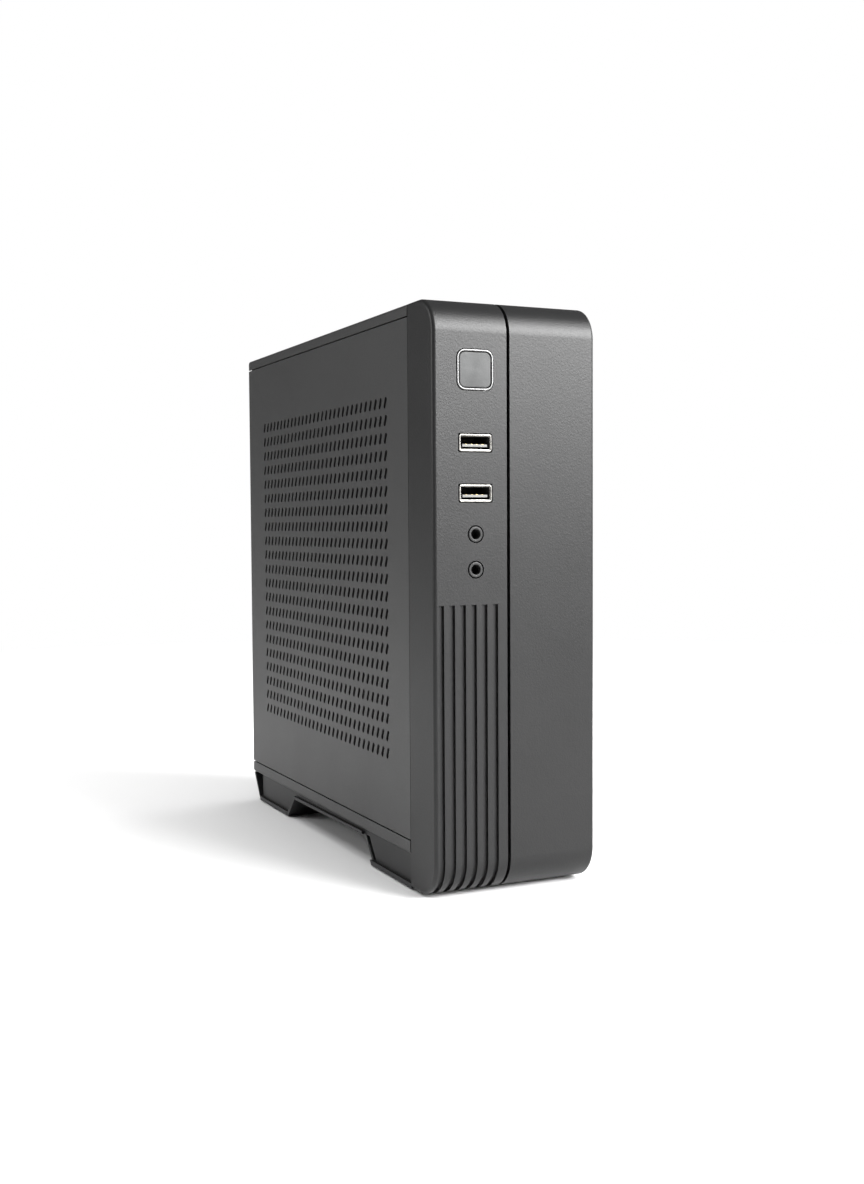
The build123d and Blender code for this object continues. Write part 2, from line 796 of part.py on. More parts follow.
with BuildPart() as heatsink_screws:
    pan_screws(left_plane(chip_face_x - 3), [(-y, z) for y, z in cooler_holes], 1.6, 13.5, 3.2, 2.0)
heatsink_screws.part.label = "heatsink_screws"
export_step(heatsink_screws.part, "parts/heatsink_screws.step")

fan_size = 80.0
fan_depth = 14.7
fan_back_x = fin_tip_x
fan_front_x = fan_back_x - fan_depth
fan_bore = 38.6
fan_screw_pitch = 71.5
hub_radius = 16.0
motor_plate = 2.0
post_outer = 3.4
post_bore = 1.6
fan_centre = (-fan_axis_y, fan_axis_z)

with BuildPart() as fan_frame:
    with BuildSketch(left_plane(fan_back_x)):
        with Locations(fan_centre):
            RectangleRounded(fan_size, fan_size, 5)
            Circle(fan_bore, mode=Mode.SUBTRACT)
            with GridLocations(fan_screw_pitch, fan_screw_pitch, 2, 2):
                Circle(2.15, mode=Mode.SUBTRACT)
    extrude(amount=fan_depth)
    with BuildSketch(left_plane(fan_back_x)):
        with Locations(fan_centre):
            Circle(hub_radius)
            with PolarLocations(0, 4, start_angle=45):
                Rectangle(2 * fan_bore + 1, 3.0)
    extrude(amount=motor_plate)
    with BuildSketch(left_plane(fan_back_x)):
        with Locations(fan_centre):
            Circle(post_outer)
    extrude(amount=11)
    with BuildSketch(left_plane(fan_back_x + 1)):
        with Locations(fan_centre):
            Circle(post_bore)
    extrude(amount=14, mode=Mode.SUBTRACT)
fan_frame.part.label = "fan_frame"
export_step(fan_frame.part, "parts/fan_frame.step")

rotor_front_x = fan_front_x + 0.6
rotor_back_x = fan_back_x - motor_plate - 1.0
blade_count = 9
blade_middle_x = (rotor_front_x + rotor_back_x) / 2 + 0.4
blade_thickness = 1.2
blade_root = (15.3, 11.5, 42.0)
blade_middle = (26.0, 16.0, 55.0)
blade_tip = (36.4, 18.0, 61.0)

with BuildPart() as fan_rotor:
    with BuildSketch(left_plane(rotor_back_x)):
        with Locations(fan_centre):
            Circle(hub_radius)
    extrude(amount=rotor_back_x - rotor_front_x)
    fillet(fan_rotor.faces().sort_by(Axis.X)[0].edges(), 1.5)
    with BuildSketch(left_plane(rotor_back_x + 1)):
        with Locations(fan_centre):
            Circle(hub_radius - 1.6)
    extrude(amount=rotor_back_x - rotor_front_x - 0.8, mode=Mode.SUBTRACT)
    with BuildSketch(left_plane(rotor_back_x)):
        with Locations(fan_centre):
            Circle(post_bore - 0.07)
    extrude(amount=rotor_back_x - rotor_front_x - 0.5)
    for k in range(blade_count):
        turn = radians(360 * k / blade_count)
        radial = Vector(0, cos(turn), sin(turn))
        for reach, chord, pitch in (blade_root, blade_middle, blade_tip):
            centre = Vector(blade_middle_x, fan_axis_y, fan_axis_z) + radial * reach
            with BuildSketch(Plane(origin=centre, x_dir=(1, 0, 0), z_dir=radial)):
                Rectangle(chord, blade_thickness, rotation=pitch)
        loft()
fan_rotor.part.label = "fan_rotor"
export_step(fan_rotor.part, "parts/fan_rotor.step")

fan_corner = fan_screw_pitch / 2
fan_screw_places = [
    (-fan_axis_y + a, fan_axis_z + b) for a in (-fan_corner, fan_corner) for b in (-fan_corner, fan_corner)
]
with BuildPart() as fan_screws:
    pan_screws(left_plane(fan_front_x), fan_screw_places, 1.15, 20, 3.4, 1.6)
fan_screws.part.label = "fan_screws"
export_step(fan_screws.part, "parts/fan_screws.step")

# ---------------------------------------------------------------- memory
memory_rows = (58.0, 134.0)
memory_length = 71.0
memory_y = -57.5
module_x = board_face_x - 4.4
module_thickness = 1.2

with BuildPart() as memory_sockets:
    for z in memory_rows:
        block(board_face_x - 5, board_face_x, memory_y, memory_y + 7, z, z + memory_length)
        for arm_z in (z, z + memory_length - 1.4):
            block(board_face_x - 5, board_face_x, memory_y + 7, memory_y + 33, arm_z, arm_z + 1.4)
        block(
            module_x - 0.05,
            module_x + module_thickness + 0.05,
            memory_y + 4,
            memory_y + 8,
            z + 1.6,
            z + memory_length - 1.6,
            mode=Mode.SUBTRACT,
        )
memory_sockets.part.label = "memory_sockets"
export_step(memory_sockets.part, "parts/memory_sockets.step")

for place, z in zip(stacked, reversed(memory_rows)):
    with BuildPart() as memory_module:
        block(
            module_x,
            module_x + module_thickness,
            memory_y + 4.2,
            memory_y + 34,
            z + 1.8,
            z + memory_length - 1.8,
        )
        for chip_row in range(4):
            chip_z = z + 6 + chip_row * 16
            block(module_x - 1.0, module_x, memory_y + 16, memory_y + 28, chip_z, chip_z + 10)
    memory_module.part.label = "memory_module_" + place
    export_step(memory_module.part, "parts/memory_module_" + place + ".step")

# ---------------------------------------------------------------- card drive
card_low = 60.0
card_high = 82.0
card_y = -12.0
card_x = board_face_x - 3.2
with BuildPart() as m2_socket:
    block(board_face_x - 4.2, board_face_x, card_y - 6, card_y + 3, card_low - 1, card_high + 1)
    block(
        card_x - 0.05,
        card_x + 0.85,
        card_y - 2,
        card_y + 4,
        card_low - 0.1,
        card_high + 0.1,
        mode=Mode.SUBTRACT,
    )
m2_socket.part.label = "m2_socket"
export_step(m2_socket.part, "parts/m2_socket.step")

with BuildPart() as m2_drive:
    block(card_x, card_x + 0.8, card_y - 1.8, card_y + 78, card_low, card_high)
    for chip_y in (card_y + 8, card_y + 30, card_y + 52):
        block(card_x - 1.2, card_x, chip_y, chip_y + 14, card_low + 4, card_high - 4)
    with BuildSketch(left_plane(card_x + 2)):
        with Locations((-(card_y + 78), (card_low + card_high) / 2)):
            Circle(1.8)
    extrude(amount=4, mode=Mode.SUBTRACT)
m2_drive.part.label = "m2_drive"
export_step(m2_drive.part, "parts/m2_drive.step")

with BuildPart() as m2_screw:
    with BuildSketch(left_plane(board_face_x)):
        with Locations((-(card_y + 78.4), (card_low + card_high) / 2)):
            Circle(1.5)
    extrude(amount=3.2)
    pan_screws(left_plane(card_x), [(-(card_y + 78.4), (card_low + card_high) / 2)], 1.2, 1, 2.6, 0.9)
m2_screw.part.label = "m2_screw"
export_step(m2_screw.part, "parts/m2_screw.step")

# ---------------------------------------------------------------- small board parts
cell_centre = (10.0, 97.0)
cell_radius = 10.0
with BuildPart() as cell_holder:
    with BuildSketch(left_plane(board_face_x)):
        with Locations((cell_centre[0], cell_centre[1])):
            Circle(cell_radius + 1.6)
            Rectangle(8, 2 * cell_radius + 6)
    extrude(amount=4.2)
    with BuildSketch(left_plane(board_face_x - 0.8)):
        with Locations((cell_centre[0], cell_centre[1])):
            Circle(cell_radius + 0.1)
    extrude(amount=6, mode=Mode.SUBTRACT)
cell_holder.part.label = "cell_holder"
export_step(cell_holder.part, "parts/cell_holder.step")

with BuildPart() as coin_cell:
    with BuildSketch(left_plane(board_face_x - 0.8)):
        with Locations((cell_centre[0], cell_centre[1])):
            Circle(cell_radius)
    extrude(amount=3.2)
    chamfer(coin_cell.faces().sort_by(Axis.X)[0].edges(), 0.4)
coin_cell.part.label = "coin_cell"
export_step(coin_cell.part, "parts/coin_cell.step")

choke_y = [fan_axis_y - 34 + 12 * k for k in range(6)]
with BuildPart() as power_chokes:
    with BuildSketch(left_plane(board_face_x)):
        with Locations(*[(-y, 205.0) for y in choke_y]):
            RectangleRounded(7.4, 7.4, 1.0)
    extrude(amount=5.4)
    chamfer(power_chokes.faces().group_by(Axis.X)[0].edges(), 0.4)
power_chokes.part.label = "power_chokes"
export_step(power_chokes.part, "parts/power_chokes.step")

with BuildPart() as board_capacitors:
    with BuildSketch(left_plane(board_face_x)):
        with Locations(*[(-y, 195.5) for y in choke_y]):
            Circle(2.7)
    extrude(amount=8)
    fillet(board_capacitors.faces().group_by(Axis.X)[0].edges(), 0.4)
board_capacitors.part.label = "board_capacitors"
export_step(board_capacitors.part, "parts/board_capacitors.step")

with BuildPart() as chipset_heatsink:
    block(board_face_x - 3, board_face_x, 56, 80, 86, 108)
    with BuildSketch(left_plane(board_face_x - 3)):
        with Locations((-68, 97)):
            with GridLocations(3, 1, 8, 1):
                Rectangle(1.2, 22)
    extrude(amount=6)
chipset_heatsink.part.label = "chipset_heatsink"
export_step(chipset_heatsink.part, "parts/chipset_heatsink.step")

# ---------------------------------------------------------------- rear sockets
port_end_y = 112.3
shield_gap = 0.3
dc_box = (15.6, board_face_x, 57.0, 67.0)
video_box = (20.9, board_face_x, 76.0, 91.0)
usb_a_box = (11.1, board_face_x, 97.0, 111.6)
lan_box = (13.5, board_face_x, 117.0, 133.4)
usb_b_box = (11.1, board_face_x, 139.0, 153.6)
audio_box = (15.1, board_face_x, 158.0, 194.0)
audio_x = 21.0
audio_heights = (164.0, 176.0, 188.0)
rear_usb_x = (23.2, 15.2)

with BuildPart() as io_shield:
    block(window_left - 1.2, window_right + 1.2, 110.1, 110.65, window_low - 1.2, window_high + 1.2)
    block(
        window_left + 0.2, window_right - 0.2, 110.1, rear_wall_y, window_low + 0.2, window_high - 0.2
    )
    block(
        window_left + 0.7,
        window_right - 0.7,
        110,
        rear_wall_y - 0.5,
        window_low + 0.7,
        window_high - 0.7,
        mode=Mode.SUBTRACT,
    )
    for left, right, low, high in (dc_box, video_box, usb_a_box, lan_box, usb_b_box, audio_box):
        block(
            left - shield_gap,
            right + shield_gap,
            109,
            113,
            low - shield_gap,
            high + shield_gap,
            mode=Mode.SUBTRACT,
        )
    with BuildSketch(front_plane(rear_wall_y + 1)):
        with Locations((2.0, 104.3), (2.0, 146.3)):
            with GridLocations(4.6, 4.6, 3, 4):
                Circle(1.3)
        with Locations((4.0, 176.0)):
            with GridLocations(4.6, 4.6, 4, 7):
                Circle(1.3)
    extrude(amount=3, mode=Mode.SUBTRACT)
io_shield.part.label = "io_shield"
export_step(io_shield.part, "parts/io_shield.step")


def housing(box, depth):
    """The outer block of a rear socket."""
    left, right, low, high = box
    block(left, right, port_end_y - depth, port_end_y, low, high)


with BuildPart() as dc_inlet:
    housing(dc_box, 14)
    with BuildSketch(rear_plane(port_end_y)):
        with Locations((-audio_x - 0.3, 62)):
            Circle(3.1)
    extrude(amount=-10, mode=Mode.SUBTRACT)
    with BuildSketch(rear_plane(port_end_y - 11)):
        with Locations((-audio_x - 0.3, 62)):
            Circle(1.0)
    extrude(amount=9)
dc_inlet.part.label = "dc_inlet"
export_step(dc_inlet.part, "parts/dc_inlet.step")

with BuildPart() as video_port:
    housing(video_box, 12)
    with BuildSketch(rear_plane(port_end_y)):
        with Locations((-24.0, 83.5)):
            RectangleRounded(5.2, 14.0, 0.5)
    extrude(amount=-10, mode=Mode.SUBTRACT)
    block(23.4, 24.6, port_end_y - 11, port_end_y - 1.5, 78.0, 89.0)
video_port.part.label = "video_port"
export_step(video_port.part, "parts/video_port.step")

for name, box in (("rear_usb_stack_a", usb_a_box), ("rear_usb_stack_b", usb_b_box)):
    with BuildPart() as rear_usb_stack:
        housing(box, 17)
        for x in rear_usb_x:
            block(
                x - usb_opening[1] / 2,
                x + usb_opening[1] / 2,
                port_end_y - 12,
                port_end_y + 1,
                box[2] + 1.1,
                box[3] - 1.1,
                mode=Mode.SUBTRACT,
            )
    rear_usb_stack.part.label = name
    export_step(rear_usb_stack.part, "parts/" + name + ".step")

with BuildPart() as rear_usb_tongues:
    for box in (usb_a_box, usb_b_box):
        for x in rear_usb_x:
            block(x + 0.3, x + 1.5, port_end_y - 12, port_end_y - 1.4, box[2] + 1.9, box[3] - 1.9)
rear_usb_tongues.part.label = "rear_usb_tongues"
export_step(rear_usb_tongues.part, "parts/rear_usb_tongues.step")

with BuildPart() as lan_port:
    housing(lan_box, 21)
    block(14.9, 23.1, port_end_y - 12.5, port_end_y + 1, 119.3, 131.1, mode=Mode.SUBTRACT)
    block(23.0, 25.2, port_end_y - 9, port_end_y + 1, 122.2, 128.2, mode=Mode.SUBTRACT)
    with BuildSketch(rear_plane(port_end_y - 12.6)):
        with Locations((-16.2, 125.2)):
            with GridLocations(1, 1.1, 1, 8):
                Rectangle(0.5, 0.4)
    extrude(amount=9)
lan_port.part.label = "lan_port"
export_step(lan_port.part, "parts/lan_port.step")

with BuildPart() as rear_audio_jacks:
    housing(audio_box, 13)
    with BuildSketch(rear_plane(port_end_y)):
        with Locations(*[(-audio_x, z) for z in audio_heights]):
            Circle(jack_bore)
    extrude(amount=-12, mode=Mode.SUBTRACT)
    with BuildSketch(rear_plane(port_end_y)):
        with Locations(*[(-audio_x, z) for z in audio_heights]):
            Circle(4.2)
            Circle(3.1, mode=Mode.SUBTRACT)
    extrude(amount=-0.6, mode=Mode.SUBTRACT)
rear_audio_jacks.part.label = "rear_audio_jacks"
export_step(rear_audio_jacks.part, "parts/rear_audio_jacks.step")

# ---------------------------------------------------------------- storage drive and bracket
plate_x = -12.0
drive_thickness = 7.0
drive_front_y = -68.0
drive_rear_y = 32.2
drive_low = 18.5
drive_high = 88.3
drive_hole_places = [(y, z) for y in (-54.0, 22.6) for z in (22.5, 84.2)]

with BuildPart() as drive_bracket:
    block(plate_x, plate_x + sheet, drive_front_y - 2, drive_rear_y + 2, inner_bottom, drive_high + 2)
    block(plate_x, plate_x + 18, drive_front_y - 2, drive_rear_y + 2, inner_bottom, inner_bottom + sheet)
    fillet(drive_bracket.edges().filter_by(Axis.X).group_by(Axis.Z)[-1], 3)
    with BuildSketch(side_plane(plate_x - 1)):
        with Locations(*drive_hole_places):
            Circle(1.7)
        with Locations(((drive_front_y + drive_rear_y) / 2, (drive_low + drive_high) / 2)):
            RectangleRounded(56, 40, 4)
    extrude(amount=4, mode=Mode.SUBTRACT)
    with BuildSketch(Plane.XY.offset(inner_bottom - 1)):
        with Locations(*bracket_screw_places):
            Circle(1.7)
    extrude(amount=4, mode=Mode.SUBTRACT)
drive_bracket.part.label = "drive_bracket"
export_step(drive_bracket.part, "parts/drive_bracket.step")

with BuildPart() as storage_drive:
    block(plate_x - drive_thickness, plate_x, drive_front_y, drive_rear_y, drive_low, drive_high)
    fillet(storage_drive.edges().filter_by(Axis.X), 2.0)
    chamfer(storage_drive.faces().sort_by(Axis.X)[0].edges(), 0.5)
    with BuildSketch(side_plane(plate_x)):
        with Locations(*drive_hole_places):
            Circle(1.45)
    extrude(amount=-4, mode=Mode.SUBTRACT)
    block(
        plate_x - 6, plate_x - 1.4, drive_rear_y - 5, drive_rear_y + 1, 30, 62, mode=Mode.SUBTRACT
    )
storage_drive.part.label = "storage_drive"
export_step(storage_drive.part, "parts/storage_drive.step")

with BuildPart() as drive_screws:
    pan_screws(side_plane(plate_x + sheet), drive_hole_places, 1.4, 3.8, 2.7, 1.3)
    pan_screws(Plane.XY.offset(inner_bottom + sheet), bracket_screw_places, 1.4, 2.0, 2.7, 1.3)
drive_screws.part.label = "drive_screws"
export_step(drive_screws.part, "parts/drive_screws.step")

# ---------------------------------------------------------------- leads held inside the case
lead_radius = 1.6


def lead(points, radii):
    """A round lead of straight runs joined by arcs through the given corners."""
    with BuildLine() as path:
        FilletPolyline(*points, radius=radii)
    start = Plane(origin=path.line @ 0, z_dir=path.line % 0)
    with BuildSketch(start) as section:
        Circle(lead_radius)
    sweep(section.sketch, path=path.line)


front_lead = [
    (controls_x, -95.4, 163.0),
    (controls_x, -82.0, 163.0),
    (-4.0, -66.0, 182.0),
    (2.0, -40.0, 198.0),
    (6.0, -10.0, 206.0),
    (19.0, -10.0, 206.0),
]
with BuildPart() as front_io_plug:
    block(controls_x - 6, controls_x + 6, io_board_back_y, -95.4, 158.0, 168.0)
    fillet(front_io_plug.faces().sort_by(Axis.Y)[-1].edges(), 0.6)
front_io_plug.part.label = "front_io_plug"
export_step(front_io_plug.part, "parts/front_io_plug.step")

with BuildPart() as front_io_header:
    block(19.0, board_face_x, -15.0, -5.0, 202.0, 210.0)
    fillet(front_io_header.faces().sort_by(Axis.X)[0].edges(), 0.6)
front_io_header.part.label = "front_io_header"
export_step(front_io_header.part, "parts/front_io_header.step")

with BuildPart() as front_io_cable:
    lead(front_lead, [6.0, 9.0, 9.0, 6.0])
front_io_cable.part.label = "front_io_cable"
export_step(front_io_cable.part, "parts/front_io_cable.step")

drive_lead = [
    (-15.7, drive_rear_y - 1.0, 46.0),
    (-15.7, 46.0, 46.0),
    (-4.0, 58.0, 50.0),
    (10.0, 60.0, 52.0),
    (22.0, 60.0, 52.0),
]
with BuildPart() as drive_cable:
    lead(drive_lead, [7.0, 9.0, 12.0])
    block(-17.8, -13.6, drive_rear_y - 4.6, drive_rear_y - 1.0, 32.0, 60.0)
    block(22.0, board_face_x, 55.0, 65.0, 49.0, 55.0)
drive_cable.part.label = "drive_cable"
export_step(drive_cable.part, "parts/drive_cable.step")
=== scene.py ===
"""Slim upright mini computer: mouldings, sheets, sockets, board and fan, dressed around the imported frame."""

import json
from contextlib import contextmanager
from math import cos, pi, radians, sin

import bmesh
import bpy
from mathutils import Matrix, Vector


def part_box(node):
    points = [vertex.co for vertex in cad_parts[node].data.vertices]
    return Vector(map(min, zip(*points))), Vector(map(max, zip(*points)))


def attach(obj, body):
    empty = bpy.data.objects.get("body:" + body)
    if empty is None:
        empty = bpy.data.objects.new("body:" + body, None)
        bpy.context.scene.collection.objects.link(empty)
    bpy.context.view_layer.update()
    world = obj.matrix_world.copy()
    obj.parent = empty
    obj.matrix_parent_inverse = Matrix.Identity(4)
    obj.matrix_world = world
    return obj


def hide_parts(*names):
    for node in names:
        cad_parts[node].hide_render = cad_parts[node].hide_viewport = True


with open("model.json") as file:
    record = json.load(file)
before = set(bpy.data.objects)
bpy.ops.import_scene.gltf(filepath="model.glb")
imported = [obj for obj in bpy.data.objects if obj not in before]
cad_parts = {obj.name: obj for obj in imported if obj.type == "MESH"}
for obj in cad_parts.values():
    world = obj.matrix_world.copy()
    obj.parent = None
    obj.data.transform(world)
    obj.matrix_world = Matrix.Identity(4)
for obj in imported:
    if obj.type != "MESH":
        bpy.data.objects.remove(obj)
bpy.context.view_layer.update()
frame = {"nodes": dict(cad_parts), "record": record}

bl_info = {
    "name": "Mini Computer",
    "version": (1, 0, 0),
    "blender": (4, 5, 0),
    "location": "3D Viewport > Sidebar > Mini PC",
    "description": "Dresses a slim upright mini computer around its packed frame",
    "category": "Object",
}

MM = 0.001
BEZEL_LOW, BEZEL_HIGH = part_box("front_bezel")
FRONT_Y = BEZEL_LOW.y
CAP_LOW, CAP_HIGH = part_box("power_button_cap")
RING_LOW, RING_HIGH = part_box("power_button_ring")
COVER_LOW, COVER_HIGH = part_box("side_cover")
GROOVE_X = -3.45 * MM
GROOVE_HALF = 0.675 * MM
GROOVE_REACH = 2.8 * MM  # just short of the long groove's floor
BUTTON_CORNER = 3.4 * MM  # of the ring, its seat and the cap's skirt
WELD = 0.002 * MM
NOISE_SPAN = (0.3, 0.7)  # where nearly all values of a noise lie


# ---------------------------------------------------------------- settings


def length_setting(name, description, default):
    return bpy.props.FloatProperty(
        name=name, description=description, default=default, unit="LENGTH", precision=5
    )


def colour_setting(name, description, default):
    return bpy.props.FloatVectorProperty(
        name=name, description=description, subtype="COLOR", default=default
    )


class ComputerSizes(bpy.types.PropertyGroup):
    bezel_round: length_setting("Bezel edge", "Rounding of the bezel's cut edges", 0.3 * MM)
    sheet_round: length_setting("Sheet edge", "Rounding that the paint leaves on cut sheet", 0.22 * MM)
    base_round: length_setting("Base edge", "Rounding of the base's moulded edges", 0.35 * MM)
    part_round: length_setting("Small part edge", "Rounding of the small parts inside", 0.12 * MM)
    cap_crown: length_setting("Cap crown", "How far the button's middle stands over its rim", 0.12 * MM)
    floor_size: length_setting("Floor", "Side of the pale floor", 24.0)


class ComputerColours(bpy.types.PropertyGroup):
    bezel: colour_setting("Bezel", "Front moulding", (0.008, 0.008, 0.0082))
    base: colour_setting("Base", "Base moulding", (0.012, 0.012, 0.0125))
    paint: colour_setting("Paint", "Powder coat of the case", (0.016, 0.016, 0.016))
    trim: colour_setting("Trim", "Bright ring round the button", (0.135, 0.135, 0.135))
    button: colour_setting("Button", "Spun metal face", (0.068, 0.069, 0.069))
    floor: colour_setting("Floor", "Pale floor", (0.71, 0.71, 0.71))


# ---------------------------------------------------------------- materials


class Finish:
    """One procedural material, built node by node around a Principled shader."""

    def __init__(self, name):
        self.material = bpy.data.materials.new(name)
        self.material.use_nodes = True
        self.tree = self.material.node_tree
        self.shader = self.tree.nodes["Principled BSDF"]
        self.places = self.add("ShaderNodeTexCoord").outputs["Object"]
        self.heights = []

    def add(self, kind, **settings):
        node = self.tree.nodes.new(kind)
        for key, value in settings.items():
            setattr(node, key, value)
        return node

    def link(self, source, target):
        self.tree.links.new(source, target)

    def set(self, **values):
        """Set the shader's own sockets, whose spaces are written as underscores."""
        for key, value in values.items():
            self.shader.inputs[key.replace("_", " ")].default_value = value

    def noise(self, size, detail=2.0, roughness=0.5, source=None, stretch=(1, 1, 1)):
        """Noise whose grains are about this many metres across."""
        mapping = self.add("ShaderNodeMapping")
        mapping.inputs["Scale"].default_value = [s / size for s in stretch]
        self.link(source or self.places, mapping.inputs["Vector"])
        texture = self.add("ShaderNodeTexNoise")
        texture.inputs["Scale"].default_value = 1.0
        texture.inputs["Detail"].default_value = detail
        texture.inputs["Roughness"].default_value = roughness
        self.link(mapping.outputs["Vector"], texture.inputs["Vector"])
        return texture.outputs["Fac"]

    def cells(self, size):
        """Distance to the nearest of many scattered points this far apart."""
        texture = self.add("ShaderNodeTexVoronoi")
        texture.inputs["Scale"].default_value = 1.0 / size
        self.link(self.places, texture.inputs["Vector"])
        return texture.outputs["Distance"]

    def between(self, factor, low, high, start=0.0, stop=1.0):
        """Turn a factor running from start to stop into a value from low to high."""
        node = self.add("ShaderNodeMapRange")
        node.inputs["From Min"].default_value = start
        node.inputs["From Max"].default_value = stop
        node.inputs["To Min"].default_value = low
        node.inputs["To Max"].default_value = high
        self.link(factor, node.inputs["Value"])
        return node.outputs["Result"]

    def maths(self, operation, first, second):
        node = self.add("ShaderNodeMath", operation=operation)
        for socket, value in zip(node.inputs, (first, second)):
            if isinstance(value, (int, float)):
                socket.default_value = value
            else:
                self.link(value, socket)
        return node.outputs["Value"]

    def blend(self, factor, first, second):
        """Mix two colours, each an output or a plain colour."""
        node = self.add("ShaderNodeMix", data_type="RGBA")
        self.link(factor, node.inputs["Factor"])
        for socket, value in zip((node.inputs["A"], node.inputs["B"]), (first, second)):
            if isinstance(value, bpy.types.NodeSocket):
                self.link(value, socket)
            else:
                socket.default_value = (*value, 1.0)
        return node.outputs["Result"]

    def edges(self, radius):
        """1 on edges and corners within the radius, and 0 on flat stretches."""
        rounded = self.add("ShaderNodeBevel", samples=3)
        rounded.inputs["Radius"].default_value = radius
        surface = self.add("ShaderNodeNewGeometry")
        turn = self.add("ShaderNodeVectorMath", operation="DOT_PRODUCT")
        self.link(rounded.outputs["Normal"], turn.inputs[0])
        self.link(surface.outputs["Normal"], turn.inputs[1])
        return self.between(turn.outputs["Value"], 1.0, 0.0, 0.86, 0.995)

    def raise_by(self, factor, height):
        """Add relief: the factor's 0 to 1 stands for this many metres."""
        self.heights.append((factor, height))

    def done(self, colour=None, roughness=None):
        """Join the colour, roughness and relief to the shader."""
        for value, socket in ((colour, "Base Color"), (roughness, "Roughness")):
            if value is not None:
                self.link(value, self.shader.inputs[socket])
        normal = None
        for factor, height in self.heights:
            bump = self.add("ShaderNodeBump")
            bump.inputs["Distance"].default_value = height
            self.link(factor, bump.inputs["Height"])
            if normal is not None:
                self.link(normal, bump.inputs["Normal"])
            normal = bump.outputs["Normal"]
        if normal is not None:
            self.link(normal, self.shader.inputs["Normal"])
        return self.material


def tinted(colour, amount):
    """The colour made lighter or darker by a factor."""
    return tuple(min(1.0, c * amount) for c in colour)


def moulded(name, colour, gloss, grain, depth, wear=1.35, spread=0.015, specular=0.5):
    """Moulded plastic: spark-eroded grain, faint flow marks, rubbed edges."""
    finish = Finish(name)
    finish.set(Specular_IOR_Level=specular)
    fine = finish.noise(grain, detail=3.0, roughness=0.6)
    pits = finish.cells(grain * 1.7)
    clouds = finish.noise(22 * MM, detail=3.0)
    rubbed = finish.edges(0.6 * MM)
    body = finish.blend(clouds, tinted(colour, 0.97), tinted(colour, 1.03))
    body = finish.blend(finish.between(fine, 0.0, 1.0, *NOISE_SPAN), tinted(colour, 0.9), body)
    marked = finish.blend(rubbed, body, tinted(colour, wear))
    rough = finish.between(clouds, gloss - spread, gloss + spread, *NOISE_SPAN)
    rough = finish.maths("ADD", rough, finish.between(fine, -0.04, 0.04, *NOISE_SPAN))
    rough = finish.maths("SUBTRACT", rough, finish.maths("MULTIPLY", rubbed, 0.08))
    finish.raise_by(fine, depth)
    finish.raise_by(pits, depth * 0.7)
    return finish.done(marked, rough)


def powder_coated(name, colour, gloss=0.44):
    """Powder coat on steel: orange peel, fine specks, slightly polished edges."""
    finish = Finish(name)
    finish.set(Specular_IOR_Level=0.58)
    peel = finish.noise(1.3 * MM, detail=2.0)
    specks = finish.noise(0.28 * MM, detail=2.0, roughness=0.65)
    clouds = finish.noise(30 * MM, detail=2.0)
    rubbed = finish.edges(0.5 * MM)
    speckled = finish.between(specks, 0, 1, 0.35, 0.65)
    body = finish.blend(speckled, tinted(colour, 0.86), tinted(colour, 1.12))
    body = finish.blend(finish.between(clouds, 0.0, 0.5), body, tinted(colour, 1.05))
    marked = finish.blend(rubbed, body, tinted(colour, 1.3))
    rough = finish.between(clouds, gloss - 0.015, gloss + 0.015, *NOISE_SPAN)
    rough = finish.maths("ADD", rough, finish.between(specks, -0.05, 0.05, *NOISE_SPAN))
    finish.raise_by(peel, 0.018 * MM)
    finish.raise_by(specks, 0.02 * MM)
    return finish.done(marked, rough)


def metal(name, colour, gloss, brush=(1, 1, 1), brush_size=0.2 * MM, depth=0.004 * MM, wear=1.15):
    """Bare or plated metal: brush marks along the short stretch, faint tarnish, bright edges."""
    finish = Finish(name)
    finish.set(Metallic=1.0)
    marks = finish.noise(brush_size, detail=3.0, stretch=brush)
    tarnish = finish.noise(9 * MM, detail=3.0)
    rubbed = finish.edges(0.4 * MM)
    dulled = finish.between(tarnish, 0, 1, *NOISE_SPAN)
    body = finish.blend(dulled, tinted(colour, 0.86), tinted(colour, 1.04))
    marked = finish.blend(rubbed, body, tinted(colour, wear))
    rough = finish.between(marks, gloss - 0.07, gloss + 0.09, *NOISE_SPAN)
    rough = finish.maths("ADD", rough, finish.between(tarnish, -0.05, 0.05, *NOISE_SPAN))
    finish.raise_by(marks, depth)
    return finish.done(marked, rough)


